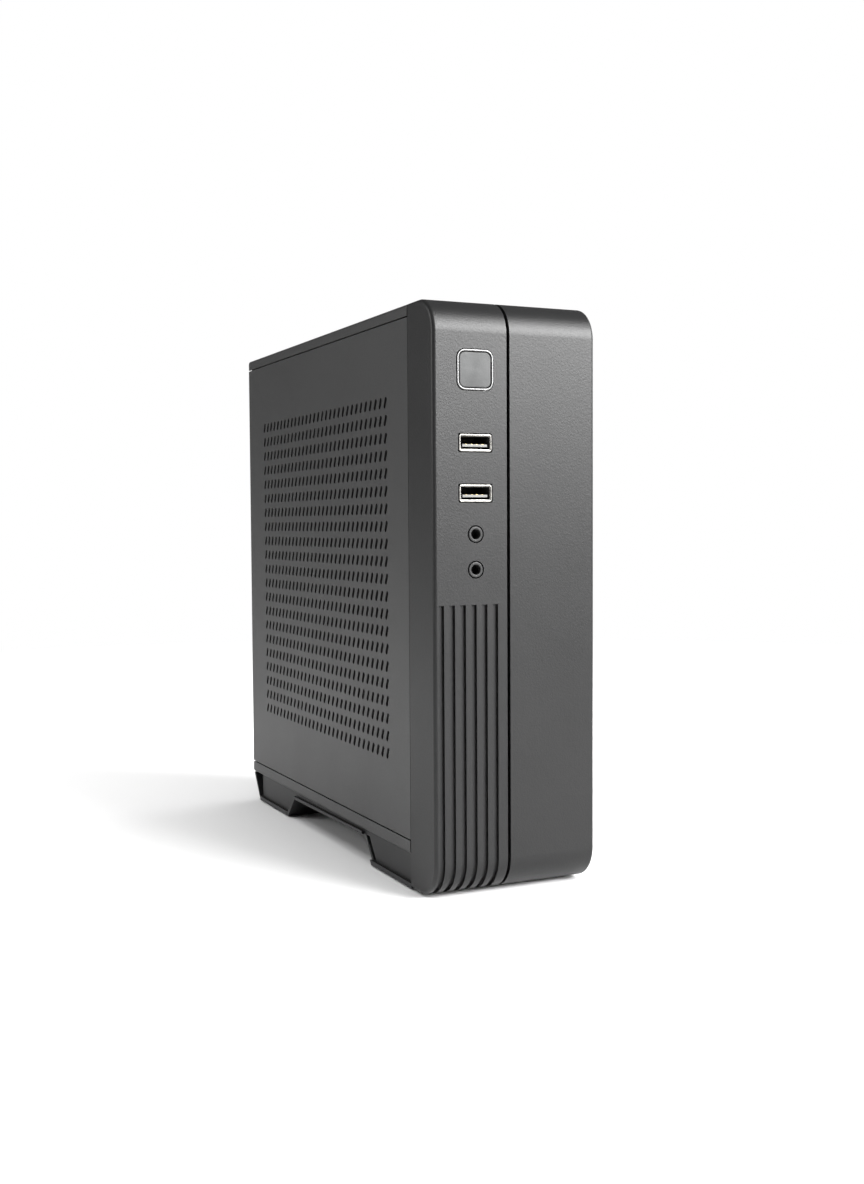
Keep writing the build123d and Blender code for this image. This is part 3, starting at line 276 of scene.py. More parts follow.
def spun_metal(name, colour):
    """The button's face: fine rings turned round its centre, whose sheen fans out."""
    finish = Finish(name)
    finish.set(Metallic=0.25, Anisotropic=0.5, Specular_IOR_Level=0.15)
    centre = (CAP_LOW + CAP_HIGH) / 2
    shift = finish.add("ShaderNodeVectorMath", operation="SUBTRACT")
    finish.link(finish.places, shift.inputs[0])
    shift.inputs[1].default_value = centre
    split = finish.add("ShaderNodeSeparateXYZ")
    finish.link(shift.outputs["Vector"], split.inputs[0])
    flat = finish.add("ShaderNodeCombineXYZ")
    finish.link(split.outputs["X"], flat.inputs["X"])
    finish.link(split.outputs["Z"], flat.inputs["Y"])
    reach = finish.add("ShaderNodeVectorMath", operation="LENGTH")
    finish.link(flat.outputs["Vector"], reach.inputs[0])
    along = finish.add("ShaderNodeCombineXYZ")
    finish.link(reach.outputs["Value"], along.inputs["X"])
    rings = finish.noise(0.09 * MM, detail=2.0, source=along.outputs["Vector"])
    around = finish.add("ShaderNodeVectorMath", operation="CROSS_PRODUCT")
    around.inputs[0].default_value = (0, 1, 0)
    finish.link(shift.outputs["Vector"], around.inputs[1])
    finish.link(around.outputs["Vector"], finish.shader.inputs["Tangent"])
    haze = finish.noise(4 * MM, detail=2.0)
    rubbed = finish.edges(0.3 * MM)
    turned = finish.between(rings, 0, 1, *NOISE_SPAN)
    body = finish.blend(turned, tinted(colour, 0.93), tinted(colour, 1.05))
    marked = finish.blend(rubbed, body, tinted(colour, 1.25))
    rough = finish.between(haze, 0.5, 0.56, *NOISE_SPAN)
    finish.raise_by(rings, 0.0015 * MM)
    return finish.done(marked, rough)


def printed_board(name, mask, track):
    """A printed board: solder mask over faint tracks that run in blocks, with bare pads."""
    finish = Finish(name)
    finish.set(Specular_IOR_Level=0.55)
    runs = []
    for axis, pitch in (("Y", 1.3 * MM), ("Z", 1.7 * MM)):
        wave = finish.add("ShaderNodeTexWave", bands_direction=axis)
        wave.inputs["Scale"].default_value = 0.32 / pitch
        wave.inputs["Distortion"].default_value = 0.0
        finish.link(finish.places, wave.inputs["Vector"])
        runs.append(finish.between(wave.outputs["Fac"], 0.0, 1.0, 0.72, 0.8))
    blocks = finish.add("ShaderNodeTexVoronoi", distance="CHEBYCHEV")
    blocks.inputs["Scale"].default_value = 1 / (11 * MM)
    finish.link(finish.places, blocks.inputs["Vector"])
    split = finish.add("ShaderNodeSeparateColor")
    finish.link(blocks.outputs["Color"], split.inputs["Color"])
    chosen = finish.maths("GREATER_THAN", split.outputs["Red"], 0.5)
    tracks = finish.add("ShaderNodeMix", data_type="FLOAT")
    finish.link(chosen, tracks.inputs["Factor"])
    finish.link(runs[0], tracks.inputs["A"])
    finish.link(runs[1], tracks.inputs["B"])
    weave = finish.noise(0.6 * MM, detail=2.0)
    board = finish.blend(weave, tinted(mask, 0.85), tinted(mask, 1.15))
    drawn = finish.blend(tracks.outputs["Result"], board, track)
    pads = finish.maths("LESS_THAN", finish.cells(2.6 * MM), 0.13)
    coloured = finish.blend(pads, drawn, (0.55, 0.42, 0.2))
    rough = finish.between(weave, 0.28, 0.42, *NOISE_SPAN)
    finish.raise_by(tracks.outputs["Result"], 0.03 * MM)
    finish.raise_by(weave, 0.01 * MM)
    return finish.done(coloured, rough)


def rubbery(name, colour, gloss=0.72, grain=0.35 * MM, depth=0.05 * MM):
    """Matt rubber or a soft jacket: dull, with dust in a fine pebbled grain."""
    finish = Finish(name)
    finish.set(Specular_IOR_Level=0.35)
    pebbles = finish.cells(grain)
    dust = finish.noise(6 * MM, detail=4.0, roughness=0.65)
    body = finish.blend(finish.between(dust, 0, 1, 0.45, 0.8), colour, tinted(colour, 1.9))
    rough = finish.between(dust, gloss - 0.06, gloss + 0.1, *NOISE_SPAN)
    finish.raise_by(pebbles, depth)
    return finish.done(body, rough)


def make_materials():
    """Every finish of the object, by the name of its slot in the record."""
    colours = bpy.context.scene.computer_colours
    along_y, along_z = (1, 0.04, 1), (1, 1, 0.04)
    return {
        "bezel_plastic": moulded(
            "Bezel satin plastic", colours.bezel, 0.40, 0.5 * MM, 0.03 * MM, specular=0.32
        ),
        "base_plastic": moulded(
            "Base satin plastic", colours.base, 0.46, 0.4 * MM, 0.018 * MM, specular=0.32
        ),
        "case_paint": powder_coated("Case powder coat", colours.paint),
        "bright_trim": metal("Bright plated trim", colours.trim, 0.36, brush_size=0.5 * MM, depth=0.001 * MM),
        "button_metal": spun_metal("Spun button metal", colours.button),
        "black_plastic": moulded("Black nylon", (0.012, 0.012, 0.012), 0.5, 0.3 * MM, 0.02 * MM),
        "pale_plastic": moulded(
            "Ivory nylon", (0.17, 0.168, 0.16), 0.5, 0.3 * MM, 0.01 * MM, wear=1.05, specular=0.25
        ),
        "socket_steel": metal("Tinned socket steel", (0.27, 0.262, 0.247), 0.34, brush=along_y),
        "contact_brass": metal("Plated brass", (0.86, 0.62, 0.25), 0.26, brush=along_y),
        "jack_plastic": moulded(
            "Jack collar plastic", (0.02, 0.02, 0.02), 0.42, 0.3 * MM, 0.008 * MM, specular=0.3
        ),
        "circuit_board": printed_board("Green printed board", (0.012, 0.07, 0.03), (0.03, 0.13, 0.06)),
        "memory_board": printed_board("Blue-green printed board", (0.01, 0.05, 0.05), (0.02, 0.10, 0.10)),
        "screw_steel": metal("Black zinc", (0.20, 0.20, 0.20), 0.36, brush_size=0.4 * MM, wear=2.2),
        "plain_steel": metal(
            "Zinc plated sheet", (0.36, 0.36, 0.365), 0.42, brush=along_z, brush_size=0.35 * MM
        ),
        "pad_rubber": rubbery("Pad rubber", (0.02, 0.02, 0.02)),
        "plated_copper": metal("Nickel plated lid", (0.66, 0.65, 0.62), 0.24, brush=along_z),
        "fin_aluminium": metal("Extruded aluminium", (0.80, 0.80, 0.81), 0.34, brush=along_z),
        "choke_grey": moulded("Pressed ferrite", (0.10, 0.10, 0.105), 0.6, 0.25 * MM, 0.03 * MM),
        "can_aluminium": metal("Capacitor can", (0.78, 0.78, 0.78), 0.28),
        "drive_case": metal(
            "Blasted drive case", (0.30, 0.31, 0.32), 0.48, brush_size=0.25 * MM, depth=0.02 * MM
        ),
        "lead_jacket": rubbery("Lead jacket", (0.015, 0.015, 0.015), 0.55, 0.8 * MM, 0.02 * MM),
        "rose_plastic": moulded("Rose plastic", (0.55, 0.16, 0.22), 0.4, 0.3 * MM, 0.01 * MM, wear=1.1),
        "lime_plastic": moulded("Lime plastic", (0.20, 0.45, 0.12), 0.4, 0.3 * MM, 0.01 * MM, wear=1.1),
        "sky_plastic": moulded("Sky plastic", (0.10, 0.28, 0.55), 0.4, 0.3 * MM, 0.01 * MM, wear=1.1),
        "label_paper": moulded("Label paper", (0.62, 0.62, 0.60), 0.45, 0.5 * MM, 0.006 * MM, wear=1.0),
        # Painted shade: a near-black finish for the bezel's long groove, the cover's slot walls, the socket
        # walls and mouths and the jack bores, where the real surfaces lie in shade.
        "painted_shade": rubbery("Painted shade in hollows", (0.004, 0.004, 0.004), 0.9, 0.4 * MM, 0.01 * MM),
    }


# ---------------------------------------------------------------- modelling helpers


def pick(*pieces):
    """Select these objects and nothing else."""
    bpy.ops.object.select_all(action="DESELECT")
    for piece in pieces:
        piece.select_set(True)
    bpy.context.view_layer.objects.active = pieces[0]


@contextmanager
def shaping(piece):
    """Edit mode on one piece, with nothing selected at its start."""
    pick(piece)
    bpy.ops.object.mode_set(mode="EDIT")
    bpy.ops.mesh.select_mode(type="FACE")
    bpy.ops.mesh.select_all(action="DESELECT")
    yield piece
    bpy.ops.object.mode_set(mode="OBJECT")


def choose(piece, test, kind="FACE"):
    """Select only the faces, edges or points that the test accepts, by place and, for faces, by normal."""
    bpy.ops.mesh.select_mode(type=kind)
    bpy.ops.mesh.select_all(action="DESELECT")
    shape = bmesh.from_edit_mesh(piece.data)
    shape.normal_update()
    if kind == "FACE":
        found = [f for f in shape.faces if test(f.calc_center_median(), f.normal)]
    elif kind == "EDGE":
        found = [e for e in shape.edges if test(e.verts[0].co, e.verts[1].co)]
    else:
        found = [v for v in shape.verts if test(v.co)]
    if not found:
        raise RuntimeError(f"nothing of {piece.name} was chosen")
    for element in found:
        element.select_set(True)
    bmesh.update_edit_mesh(piece.data)


def settle(piece):
    """Put the piece's place into its mesh, so that its object stands at the origin."""
    pick(piece)
    bpy.ops.object.transform_apply(location=True, rotation=True, scale=True)


def soften(piece, width, segments=2, angle=35.0):
    """Round the piece's edges by a bevel, then shade its curves smooth."""
    pick(piece)
    bpy.ops.object.modifier_add(type="BEVEL")
    bevel = piece.modifiers[-1]
    bevel.width = width
    bevel.segments = segments
    bevel.limit_method = "ANGLE"
    bevel.angle_limit = radians(angle)
    bevel.use_clamp_overlap = True
    bevel.miter_outer = "MITER_ARC"
    bpy.ops.object.modifier_apply(modifier=bevel.name)
    smooth(piece, angle)


def smooth(piece, angle=35.0):
    """Shade the curves smooth and keep the flat stretches flat."""
    pick(piece)
    bpy.ops.object.shade_smooth_by_angle(angle=radians(angle))
    bpy.ops.object.modifier_add(type="WEIGHTED_NORMAL")
    weighted = piece.modifiers[-1]
    weighted.weight = 100
    weighted.keep_sharp = True
    bpy.ops.object.modifier_apply(modifier=weighted.name)


def rounded_block(name, centre, size, corner, axis=1, segments=8):
    """A block whose four edges along one axis are rounded."""
    bpy.ops.object.select_all(action="DESELECT")
    bpy.ops.mesh.primitive_cube_add(size=1.0, location=centre)
    piece = bpy.context.object
    piece.name = name
    piece.scale = size
    settle(piece)
    with shaping(piece):
        choose(piece, lambda a, b: abs(a[axis] - b[axis]) > size[axis] / 2, "EDGE")
        bpy.ops.mesh.bevel(offset=corner, segments=segments, affect="EDGES")
    return piece


def hollow_out(piece, wall):
    """Open a rounded block from front to back, which leaves a wall all round."""
    with shaping(piece):
        choose(piece, lambda centre, normal: abs(normal.y) > 0.9)
        bpy.ops.mesh.inset(thickness=wall, use_even_offset=True)
        bpy.ops.mesh.bridge_edge_loops()
        bpy.ops.mesh.select_all(action="SELECT")
        bpy.ops.mesh.remove_doubles(threshold=WELD)
        bpy.ops.mesh.normals_make_consistent(inside=False)


def joined(name, pieces):
    """Join several shapes of one moulding or pressing into one object."""
    pick(*pieces)
    bpy.ops.object.join()
    pieces[0].name = name
    return pieces[0]


def round_bar(name, centre, radius, length, vertices):
    """A round bar that runs from front to back."""
    bpy.ops.object.select_all(action="DESELECT")
    bpy.ops.mesh.primitive_cylinder_add(
        vertices=vertices, radius=radius, depth=length, location=centre, rotation=(pi / 2, 0, 0)
    )
    piece = bpy.context.object
    piece.name = name
    settle(piece)
    return piece


def add_finish(piece, slot):
    """Give the piece one more finish and make it the one that is assigned next."""
    piece.data.materials.append(MATERIALS[slot])
    piece.active_material_index = len(piece.data.materials) - 1


def line_with(piece, slot, test):
    """Give the faces that the test accepts another finish."""
    add_finish(piece, slot)
    with shaping(piece):
        choose(piece, test)
        bpy.ops.object.material_slot_assign()


def merged(node, name):
    """A copy of a CAD node with its loose triangles joined and its flat stretches made whole."""
    piece = bpy.data.objects.new(name, frame["nodes"][node].data.copy())
    bpy.context.scene.collection.objects.link(piece)
    pick(piece)
    bpy.ops.mesh.customdata_custom_splitnormals_clear()
    with shaping(piece):
        bpy.ops.mesh.select_all(action="SELECT")
        bpy.ops.mesh.remove_doubles(threshold=WELD)
        bpy.ops.mesh.dissolve_limited(angle_limit=radians(0.2))
        bpy.ops.mesh.select_all(action="SELECT")
        bpy.ops.mesh.normals_make_consistent(inside=False)
    return piece


def dress(piece, slot, body="case", nodes=()):
    """Give the piece its finish and its body, and hide the CAD nodes that it stands for."""
    piece.data.materials.clear()
    piece.data.materials.append(MATERIALS[slot])
    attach(piece, body)
    if nodes:
        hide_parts(*nodes)
    return piece


def refined(node, name, width, segments=2, angle=35.0):
    """Stand a merged and softly rounded copy of a CAD node in its place."""
    piece = merged(node, name)
    if width:
        soften(piece, width, segments, angle)
    else:
        smooth(piece, angle)
    return dress(piece, SLOT_OF[node], BODY_OF[node], [node])


MATERIALS = {}
SLOT_OF = {row["node"]: row["material_slot"] for row in frame["record"]["subparts"]}
BODY_OF = {node: body for body, nodes in frame["record"]["behaviour"]["bodies"].items() for node in nodes}


# ---------------------------------------------------------------- operators


class FinishFrame(bpy.types.Operator):
    """Give every part of the frame its own procedural finish"""

    bl_idname = "computer.finish_frame"
    bl_label = "Finish the frame"

    def execute(self, context):
        MATERIALS.update(make_materials())
        for node, part in frame["nodes"].items():
            for place in part.material_slots:
                place.link = "OBJECT"
                place.material = MATERIALS[SLOT_OF[node]]
        return {"FINISHED"}


class BuildCasing(bpy.types.Operator):
    """Round and smooth the bezel, the shell, the side cover, the base and the inner sheets"""

    bl_idname = "computer.build_casing"
    bl_label = "Casing"

    def execute(self, context):
        sizes = context.scene.computer_sizes
        bezel = refined("front_bezel", "bezel_moulding", sizes.bezel_round, 3, 40.0)
        # Painted shade on the walls and floor of the bezel's long groove, a gap that lies in shade.
        line_with(bezel, "painted_shade", in_main_groove)
        refined("base_skirt", "base_moulding", sizes.base_round, 3)
        refined("chassis_shell", "folded_shell", sizes.sheet_round)
        cover = refined("side_cover", "vented_cover", 0.0)
        # Painted shade on the cut walls of the cover's slots; the real walls are painted sheet.
        line_with(cover, "painted_shade", in_cover_slot)
        refined("rear_panel", "rear_sheet", sizes.part_round)
        refined("front_inner_panel", "front_sheet", 0.0)
        refined("rubber_pads", "standing_pads", 0.0)
        refined("cover_thumbscrews", "thumbscrew_set", sizes.part_round)
        return {"FINISHED"}


# The faces chosen here get painted shade.
def in_main_groove(centre, normal):
    """On a wall of the long groove in the bezel, or on its floor."""
    aside = abs(centre.x - GROOVE_X)
    on_wall = aside > GROOVE_HALF - 0.02 * MM
    between_ends = BEZEL_LOW.z + GROOVE_REACH < centre.z < BEZEL_HIGH.z - GROOVE_REACH
    on_floor = centre.y > FRONT_Y + GROOVE_REACH and between_ends
    return aside < GROOVE_HALF and centre.y < BEZEL_HIGH.y and (on_wall or on_floor)


# The faces chosen here get painted shade.
def in_cover_slot(centre, normal):
    """On the cut wall of one of the cover's slots."""
    end_margin, front_margin = 20 * MM, 10 * MM
    on_sheet = abs(normal.x) < 0.1 and centre.x < COVER_LOW.x + 0.9 * MM
    between_ends = COVER_LOW.z + end_margin < centre.z < COVER_HIGH.z - end_margin
    between_sides = COVER_LOW.y + front_margin < centre.y < COVER_HIGH.y - front_margin
    return on_sheet and between_ends and between_sides


class BuildButton(bpy.types.Operator):
    """Model the power button: its bright ring, its crowned cap, its plunger and its switch"""

    bl_idname = "computer.build_button"
    bl_label = "Power button"

    def execute(self, context):
        build_ring()
        build_cap(context.scene.computer_sizes.cap_crown)
        refined("power_switch_plunger", "switch_plunger", 0.1 * MM)
        refined("power_switch_body", "switch_body", 0.1 * MM)
        return {"FINISHED"}


def build_ring():
    """A plated ring with a full-round front, on a flange behind the bezel."""
    centre = (RING_LOW + RING_HIGH) / 2
    depth = RING_HIGH.y - RING_LOW.y
    outer, wall, flange = 15.6 * MM, 0.66 * MM, RING_HIGH.x - RING_LOW.x
    seat_setback, seat_depth, seat_overlap = 3.0 * MM, 1.2 * MM, 0.3 * MM
    band = rounded_block("button_ring", centre, (outer, depth, outer), BUTTON_CORNER, segments=12)
    hollow_out(band, wall)
    soften(band, 0.16 * MM, 3)
    seat_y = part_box("front_bezel")[0].y + seat_setback
    seat_place = (centre.x, seat_y, centre.z)
    seat = rounded_block("ring_seat", seat_place, (flange, seat_depth, flange), BUTTON_CORNER)
    hollow_out(seat, (flange - outer) / 2 + seat_overlap)
    soften(seat, 0.15 * MM)
    dress(joined("button_ring", [band, seat]), "bright_trim", "case", ["power_button_ring"])


def build_cap(crown):
    """The pressed cap: a crowned face with a broken edge, a skirt and a stem."""
    side, corner, edge = 13.6 * MM, 2.4 * MM, 0.3 * MM
    front = CAP_LOW.y
    skirt_y = RING_HIGH.y + 0.3 * MM
    middle = (CAP_LOW + CAP_HIGH) / 2
    cap_place = (middle.x, (front + skirt_y) / 2, middle.z)
    cap = rounded_block("cap", cap_place, (side, skirt_y - front, side), corner, segments=12)
    with shaping(cap):
        choose(cap, lambda centre, normal: normal.y < -0.9)
        bpy.ops.mesh.bevel(offset=edge, segments=3, affect="EDGES")
        choose(cap, lambda centre, normal: normal.y < -0.99 and centre.y < front + 0.01 * MM)
        bpy.ops.mesh.inset(thickness=0.25 * MM)
        bpy.ops.mesh.poke()
        bpy.ops.mesh.subdivide(number_cuts=4)
        face_centre = Vector((middle.x, front, middle.z))
        choose(cap, lambda place: (place - face_centre).length < 0.3 * MM, "VERT")
        bpy.ops.transform.translate(
            value=(0, -crown, 0),
            use_proportional_edit=True,
            proportional_edit_falloff="SPHERE",
            proportional_size=side * 0.47,
            use_proportional_connected=True,
        )
    smooth(cap, 40.0)
    skirt_side, skirt_depth = 15.6 * MM, 1.3 * MM
    skirt_place = (middle.x, skirt_y + skirt_depth / 2, middle.z)
    skirt = rounded_block("skirt", skirt_place, (skirt_side, skirt_depth, skirt_side), BUTTON_CORNER)
    soften(skirt, 0.15 * MM)
    stem_radius, stem_length = 2.0 * MM, CAP_HIGH.y - skirt_y
    stem_place = (middle.x, skirt_y + stem_length / 2, middle.z)
    stem = round_bar("stem", stem_place, stem_radius, stem_length, vertices=32)
    soften(stem, 0.15 * MM)
    dress(joined("pressed_cap", [cap, skirt, stem]), "button_metal", "button", ["power_button_cap"])


class BuildSockets(bpy.types.Operator):
    """Model the front sockets: folded shells, tongues with contacts, and the two round jacks"""

    bl_idname = "computer.build_sockets"
    bl_label = "Front sockets"

    def execute(self, context):
        for place in ("upper", "lower"):
            build_shell("usb_shell_" + place, "socket_shell_" + place)
            build_tongue("usb_tongue_" + place, "socket_tongue_" + place)
        build_contacts()
        for place in ("headphone", "microphone"):
            build_jack(place + "_jack", place + "_collar")
        return {"FINISHED"}


def build_shell(node, name):
    """A folded shell with a rolled rim round its mouth."""
    low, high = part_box(node)
    centre = (low + high) / 2
    rim_depth, rim_wall, tube_wall = 0.9 * MM, 0.74 * MM, 0.4 * MM
    tube_start, tube_margin = 0.4 * MM, 1.0 * MM
    rim_size = (high.x - low.x, rim_depth, high.z - low.z)
    rim = rounded_block("rim", (centre.x, low.y + rim_depth / 2, centre.z), rim_size, 1.0 * MM, segments=6)
    hollow_out(rim, rim_wall)
    soften(rim, 0.3 * MM, 4)
    tube_size = (high.x - low.x - tube_margin, high.y - low.y - tube_start, high.z - low.z - tube_margin)
    tube_place = (centre.x, (low.y + tube_start + high.y) / 2, centre.z)
    tube = rounded_block("tube", tube_place, tube_size, 0.6 * MM)
    hollow_out(tube, tube_wall)
    soften(tube, 0.1 * MM)
    shell = joined(name, [rim, tube])
    dress(shell, "socket_steel", "case", [node])
    # Painted shade on the shell's inner walls behind the rim, which are bare steel lying in shade.
    line_with(shell, "painted_shade", lambda place, normal: is_inside(place, normal, centre, low.y + 0.35 * MM))


def is_inside(place, normal, centre, start_y):
    """On an inner wall that faces the socket's own axis, behind the rim."""
    inward = Vector((centre.x - place.x, 0, centre.z - place.z))
    return place.y > start_y and abs(normal.y) < 0.5 and inward.dot(normal) > 0


def build_tongue(node, name):
    """The blade that carries the contacts, in its carrier, whose black is painted shade at the back of the
    socket.
    """
    low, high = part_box(node)
    centre = (low + high) / 2
    blade_width, blade_thickness, blade_drop = 10.8 * MM, 1.05 * MM, 1.075 * MM
    blade_size = (blade_width, high.y - low.y, blade_thickness)
    blade_place = (centre.x, centre.y, centre.z - blade_drop)
    blade = rounded_block("blade", blade_place, blade_size, 0.2 * MM, segments=3)
    soften(blade, 0.16 * MM, 3)
    carrier_depth = 3.4 * MM
    carrier_size = (high.x - low.x, carrier_depth, high.z - low.z)
    carrier_place = (centre.x, high.y - carrier_depth / 2, centre.z)
    carrier = rounded_block("carrier", carrier_place, carrier_size, 0.3 * MM)
    soften(carrier, 0.12 * MM)
    tongue = dress(joined(name, [blade, carrier]), "pale_plastic", "case", [node])
    # Painted shade: the carrier is given black plastic, to darken the back of the socket.
    line_with(tongue, "black_plastic", lambda place, normal: place.y > high.y - 1.02 * carrier_depth)


def build_contacts():
    """Eight springy contacts, four on each tongue, each turned down at its tip."""
    low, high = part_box("usb_contacts")
    contact_size = (1.0 * MM, high.y - low.y, 0.15 * MM)
    contact_drop = 0.425 * MM
    tip = {"value": (0, -0.35 * MM, -0.06 * MM)}
    contacts = []
    for place in ("upper", "lower"):
        tongue_low, tongue_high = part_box("usb_tongue_" + place)
        middle = (tongue_low + tongue_high) / 2
        for offset in (-3.5, -1.0, 1.0, 3.5):
            spot = (middle.x + offset * MM, (low.y + high.y) / 2, middle.z - contact_drop)
            contact = rounded_block("contact", spot, contact_size, 0.07 * MM, segments=2)
            with shaping(contact):
                choose(contact, lambda centre, normal: normal.y < -0.9)
                bpy.ops.mesh.extrude_region_move(TRANSFORM_OT_translate=tip)
                bpy.ops.transform.resize(value=(0.7, 1, 0.7))
            smooth(contact)
            contacts.append(contact)
    dress(joined("socket_contacts", contacts), "contact_brass", "case", ["usb_contacts"])


def build_jack(node, name):
    """A round collar with a broken edge and a deep bore, on its square body."""
    low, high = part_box(node)
    centre = (low + high) / 2
    collar_radius, bore = 3.05 * MM, 1.95 * MM
    body_setback, overlap, bore_floor = 4.5 * MM, 0.5 * MM, 0.2 * MM
    body_y = FRONT_Y + body_setback
    length = body_y - low.y + overlap
    collar_place = (centre.x, low.y + length / 2, centre.z)
    collar = round_bar("collar", collar_place, collar_radius, length, vertices=64)
    with shaping(collar):
        choose(collar, lambda place, normal: normal.y < -0.9)
        bpy.ops.mesh.inset(thickness=collar_radius - bore)
        bpy.ops.mesh.extrude_region_move(TRANSFORM_OT_translate={"value": (0, length - bore_floor, 0)})
        bpy.ops.mesh.select_all(action="SELECT")
        bpy.ops.mesh.normals_make_consistent(inside=False)
    soften(collar, 0.3 * MM, 4)
    body_size = (high.x - low.x, high.y - body_y, high.z - low.z)
    body = rounded_block("body", (centre.x, (body_y + high.y) / 2, centre.z), body_size, 0.5 * MM)
    soften(body, 0.2 * MM)
    jack = dress(joined(name, [collar, body]), "jack_plastic", "case", [node])

    def in_bore(place, normal):
        reach = Vector((place.x - centre.x, 0, place.z - centre.z)).length
        return reach < bore * 1.02 and place.y > low.y + 0.08 * MM

    # Painted shade in the jack's bore.
    line_with(jack, "painted_shade", in_bore)


def within(x_range, z_range, y_range):
    """A test for faces whose middle lies in this box, given in millimetres."""
    ranges = (x_range, y_range, z_range)

    def test(centre, normal):
        return all(low - 0.05 < place / MM < high + 0.05 for place, (low, high) in zip(centre, ranges))

    return test


# Rear sockets: CAD node, name, edge, then the finish of each lined box by its spans along x, z and y, in mm.
# The near-black finish of the first box is painted shade in the socket's mouth.
REAR_SOCKETS = (
    (
        "video_port",
        "video_socket",
        0.16,
        (
            ("painted_shade", (21.3, 26.7), (76.4, 90.6), (101, 111.8)),
            ("black_plastic", (23.4, 24.6), (78, 89), (101, 111.3)),
        ),
    ),
    (
        "lan_port",
        "network_socket",
        0.14,
        (
            ("painted_shade", (14.9, 25.2), (119.3, 131.1), (99, 111.8)),
            ("contact_brass", (15.9, 16.5), (120.8, 129.5), (99.8, 109.2)),
        ),
    ),
    (
        "dc_inlet",
        "power_inlet",
        0.2,
        (
            ("painted_shade", (18.2, 24.4), (58.9, 65.1), (101, 111.8)),
            ("plain_steel", (20.2, 22.4), (60.9, 63.1), (101, 111)),
        ),
    ),
)
REAR_STACK_X = (23.2, 15.2)
REAR_JACKS = ((164.0, "rose_plastic"), (176.0, "lime_plastic"), (188.0, "sky_plastic"))


class BuildRear(bpy.types.Operator):
    """Round the rear sockets, colour their tongues, contacts, pins and jack rings, and paint shade into their
    mouths and bores
    """

    bl_idname = "computer.build_rear"
    bl_label = "Rear sockets"

    def execute(self, context):
        refined("io_shield", "socket_plate", 0.08 * MM)
        refined("rear_usb_tongues", "rear_blades", 0.15 * MM)
        for place in ("a", "b"):
            stack = refined("rear_usb_stack_" + place, "rear_stack_" + place, 0.16 * MM)
            low, high = (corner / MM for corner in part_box("rear_usb_stack_" + place))
            for x in REAR_STACK_X:
                mouth = within((x - 2.65, x + 2.65), (low.z + 1.0, high.z - 1.0), (low.y + 1, high.y - 0.5))
                # Painted shade in the mouths of the rear stacks.
                line_with(stack, "painted_shade", mouth)
        for node, name, edge, linings in REAR_SOCKETS:
            socket = refined(node, name, edge * MM)
            for slot, *spans in linings:
                line_with(socket, slot, within(*spans))
        jacks = refined("rear_audio_jacks", "rear_jacks", 0.12 * MM)
        for middle, tint in REAR_JACKS:
            line_with(jacks, tint, within((16.8, 25.2), (middle - 4.2, middle + 4.2), (111.6, 112.05)))
            # Painted shade in each jack's bore; the coloured ring round it is real.
            line_with(jacks, "painted_shade", within((19.2, 22.8), (middle - 1.8, middle + 1.8), (100, 111.9)))
        return {"FINISHED"}


# Parts inside that are only rounded, by the width of the rounding in millimetres.
ROUNDED_INSIDE = {
    "motherboard": 0.15,
    "board_screws": 0.2,
    "cpu_socket": 0.15,
    "cpu_chip": 0.15,
    "heatsink": 0.12,
    "heatsink_screws": 0.2,
    "fan_frame": 0.35,
    "fan_screws": 0.2,
    "memory_sockets": 0.2,
    "m2_socket": 0.15,
    "m2_screw": 0.15,
    "cell_holder": 0.2,
    "coin_cell": 0.12,
    "power_chokes": 0.15,
    "chipset_heatsink": 0.15,
    "drive_bracket": 0.15,
    "drive_screws": 0.2,
    "front_io_board": 0.12,
    "io_board_screws": 0.15,
    "front_io_plug": 0.12,
    "front_io_header": 0.12,
    "front_io_cable": 0.0,
    "drive_cable": 0.0,
    "base_screws": 0.2,
}


class BuildInside(bpy.types.Operator):
    """Round and dress the board, its parts, the cooler, the drive and the leads"""

    bl_idname = "computer.build_inside"
    bl_label = "Inside"

    def execute(self, context):
        for node, width in ROUNDED_INSIDE.items():
            refined(node, "fine_" + node, width * MM)
        paint_spacer_heads()
        face_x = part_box("motherboard")[0].x
        for place in ("upper", "lower"):
            node = "memory_module_" + place
            module = refined(node, "memory_card_" + place, 0.1 * MM)
            chip_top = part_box(node)[0].x
            line_with(module, "black_plastic", lambda centre, normal: centre.x < chip_top + 0.9 * MM)
        card = refined("m2_drive", "card_drive", 0.1 * MM)
        chip_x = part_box("m2_drive")[0].x
        line_with(card, "black_plastic", lambda centre, normal: centre.x < chip_x + 1.1 * MM)
        cans = refined("board_capacitors", "polymer_cans", 0.15 * MM)
        line_with(cans, "black_plastic", lambda centre, normal: centre.x > face_x - 1.2 * MM)
        drive = refined("storage_drive", "drive_box", 0.15 * MM)
        label_face(drive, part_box("storage_drive")[0].x)
        rotor = refined("fan_rotor", "fan_wheel", 0.15 * MM, angle=30.0)
        hub_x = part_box("fan_rotor")[0].x
        line_with(rotor, "label_paper", within_disc(hub_x, 13.0 * MM))
        build_board_parts(face_x)
        return {"FINISHED"}


def paint_spacer_heads():
    """The brass spacers, whose pressed heads show outside under the case's paint."""
    spacers = refined("board_standoffs", "board_spacers", 0.2 * MM)
    outer_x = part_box("board_standoffs")[1].x
    line_with(spacers, "case_paint", lambda centre, normal: centre.x > outer_x - 0.9 * MM)


def within_disc(side_x, radius):
    """A test for the faces of a round end about the fan's axis."""
    low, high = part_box("fan_frame")
    axis = (low + high) / 2

    def test(centre, normal):
        reach = Vector((0, centre.y - axis.y, centre.z - axis.z)).length
        return reach < radius and centre.x < side_x + 0.05 * MM

    return test


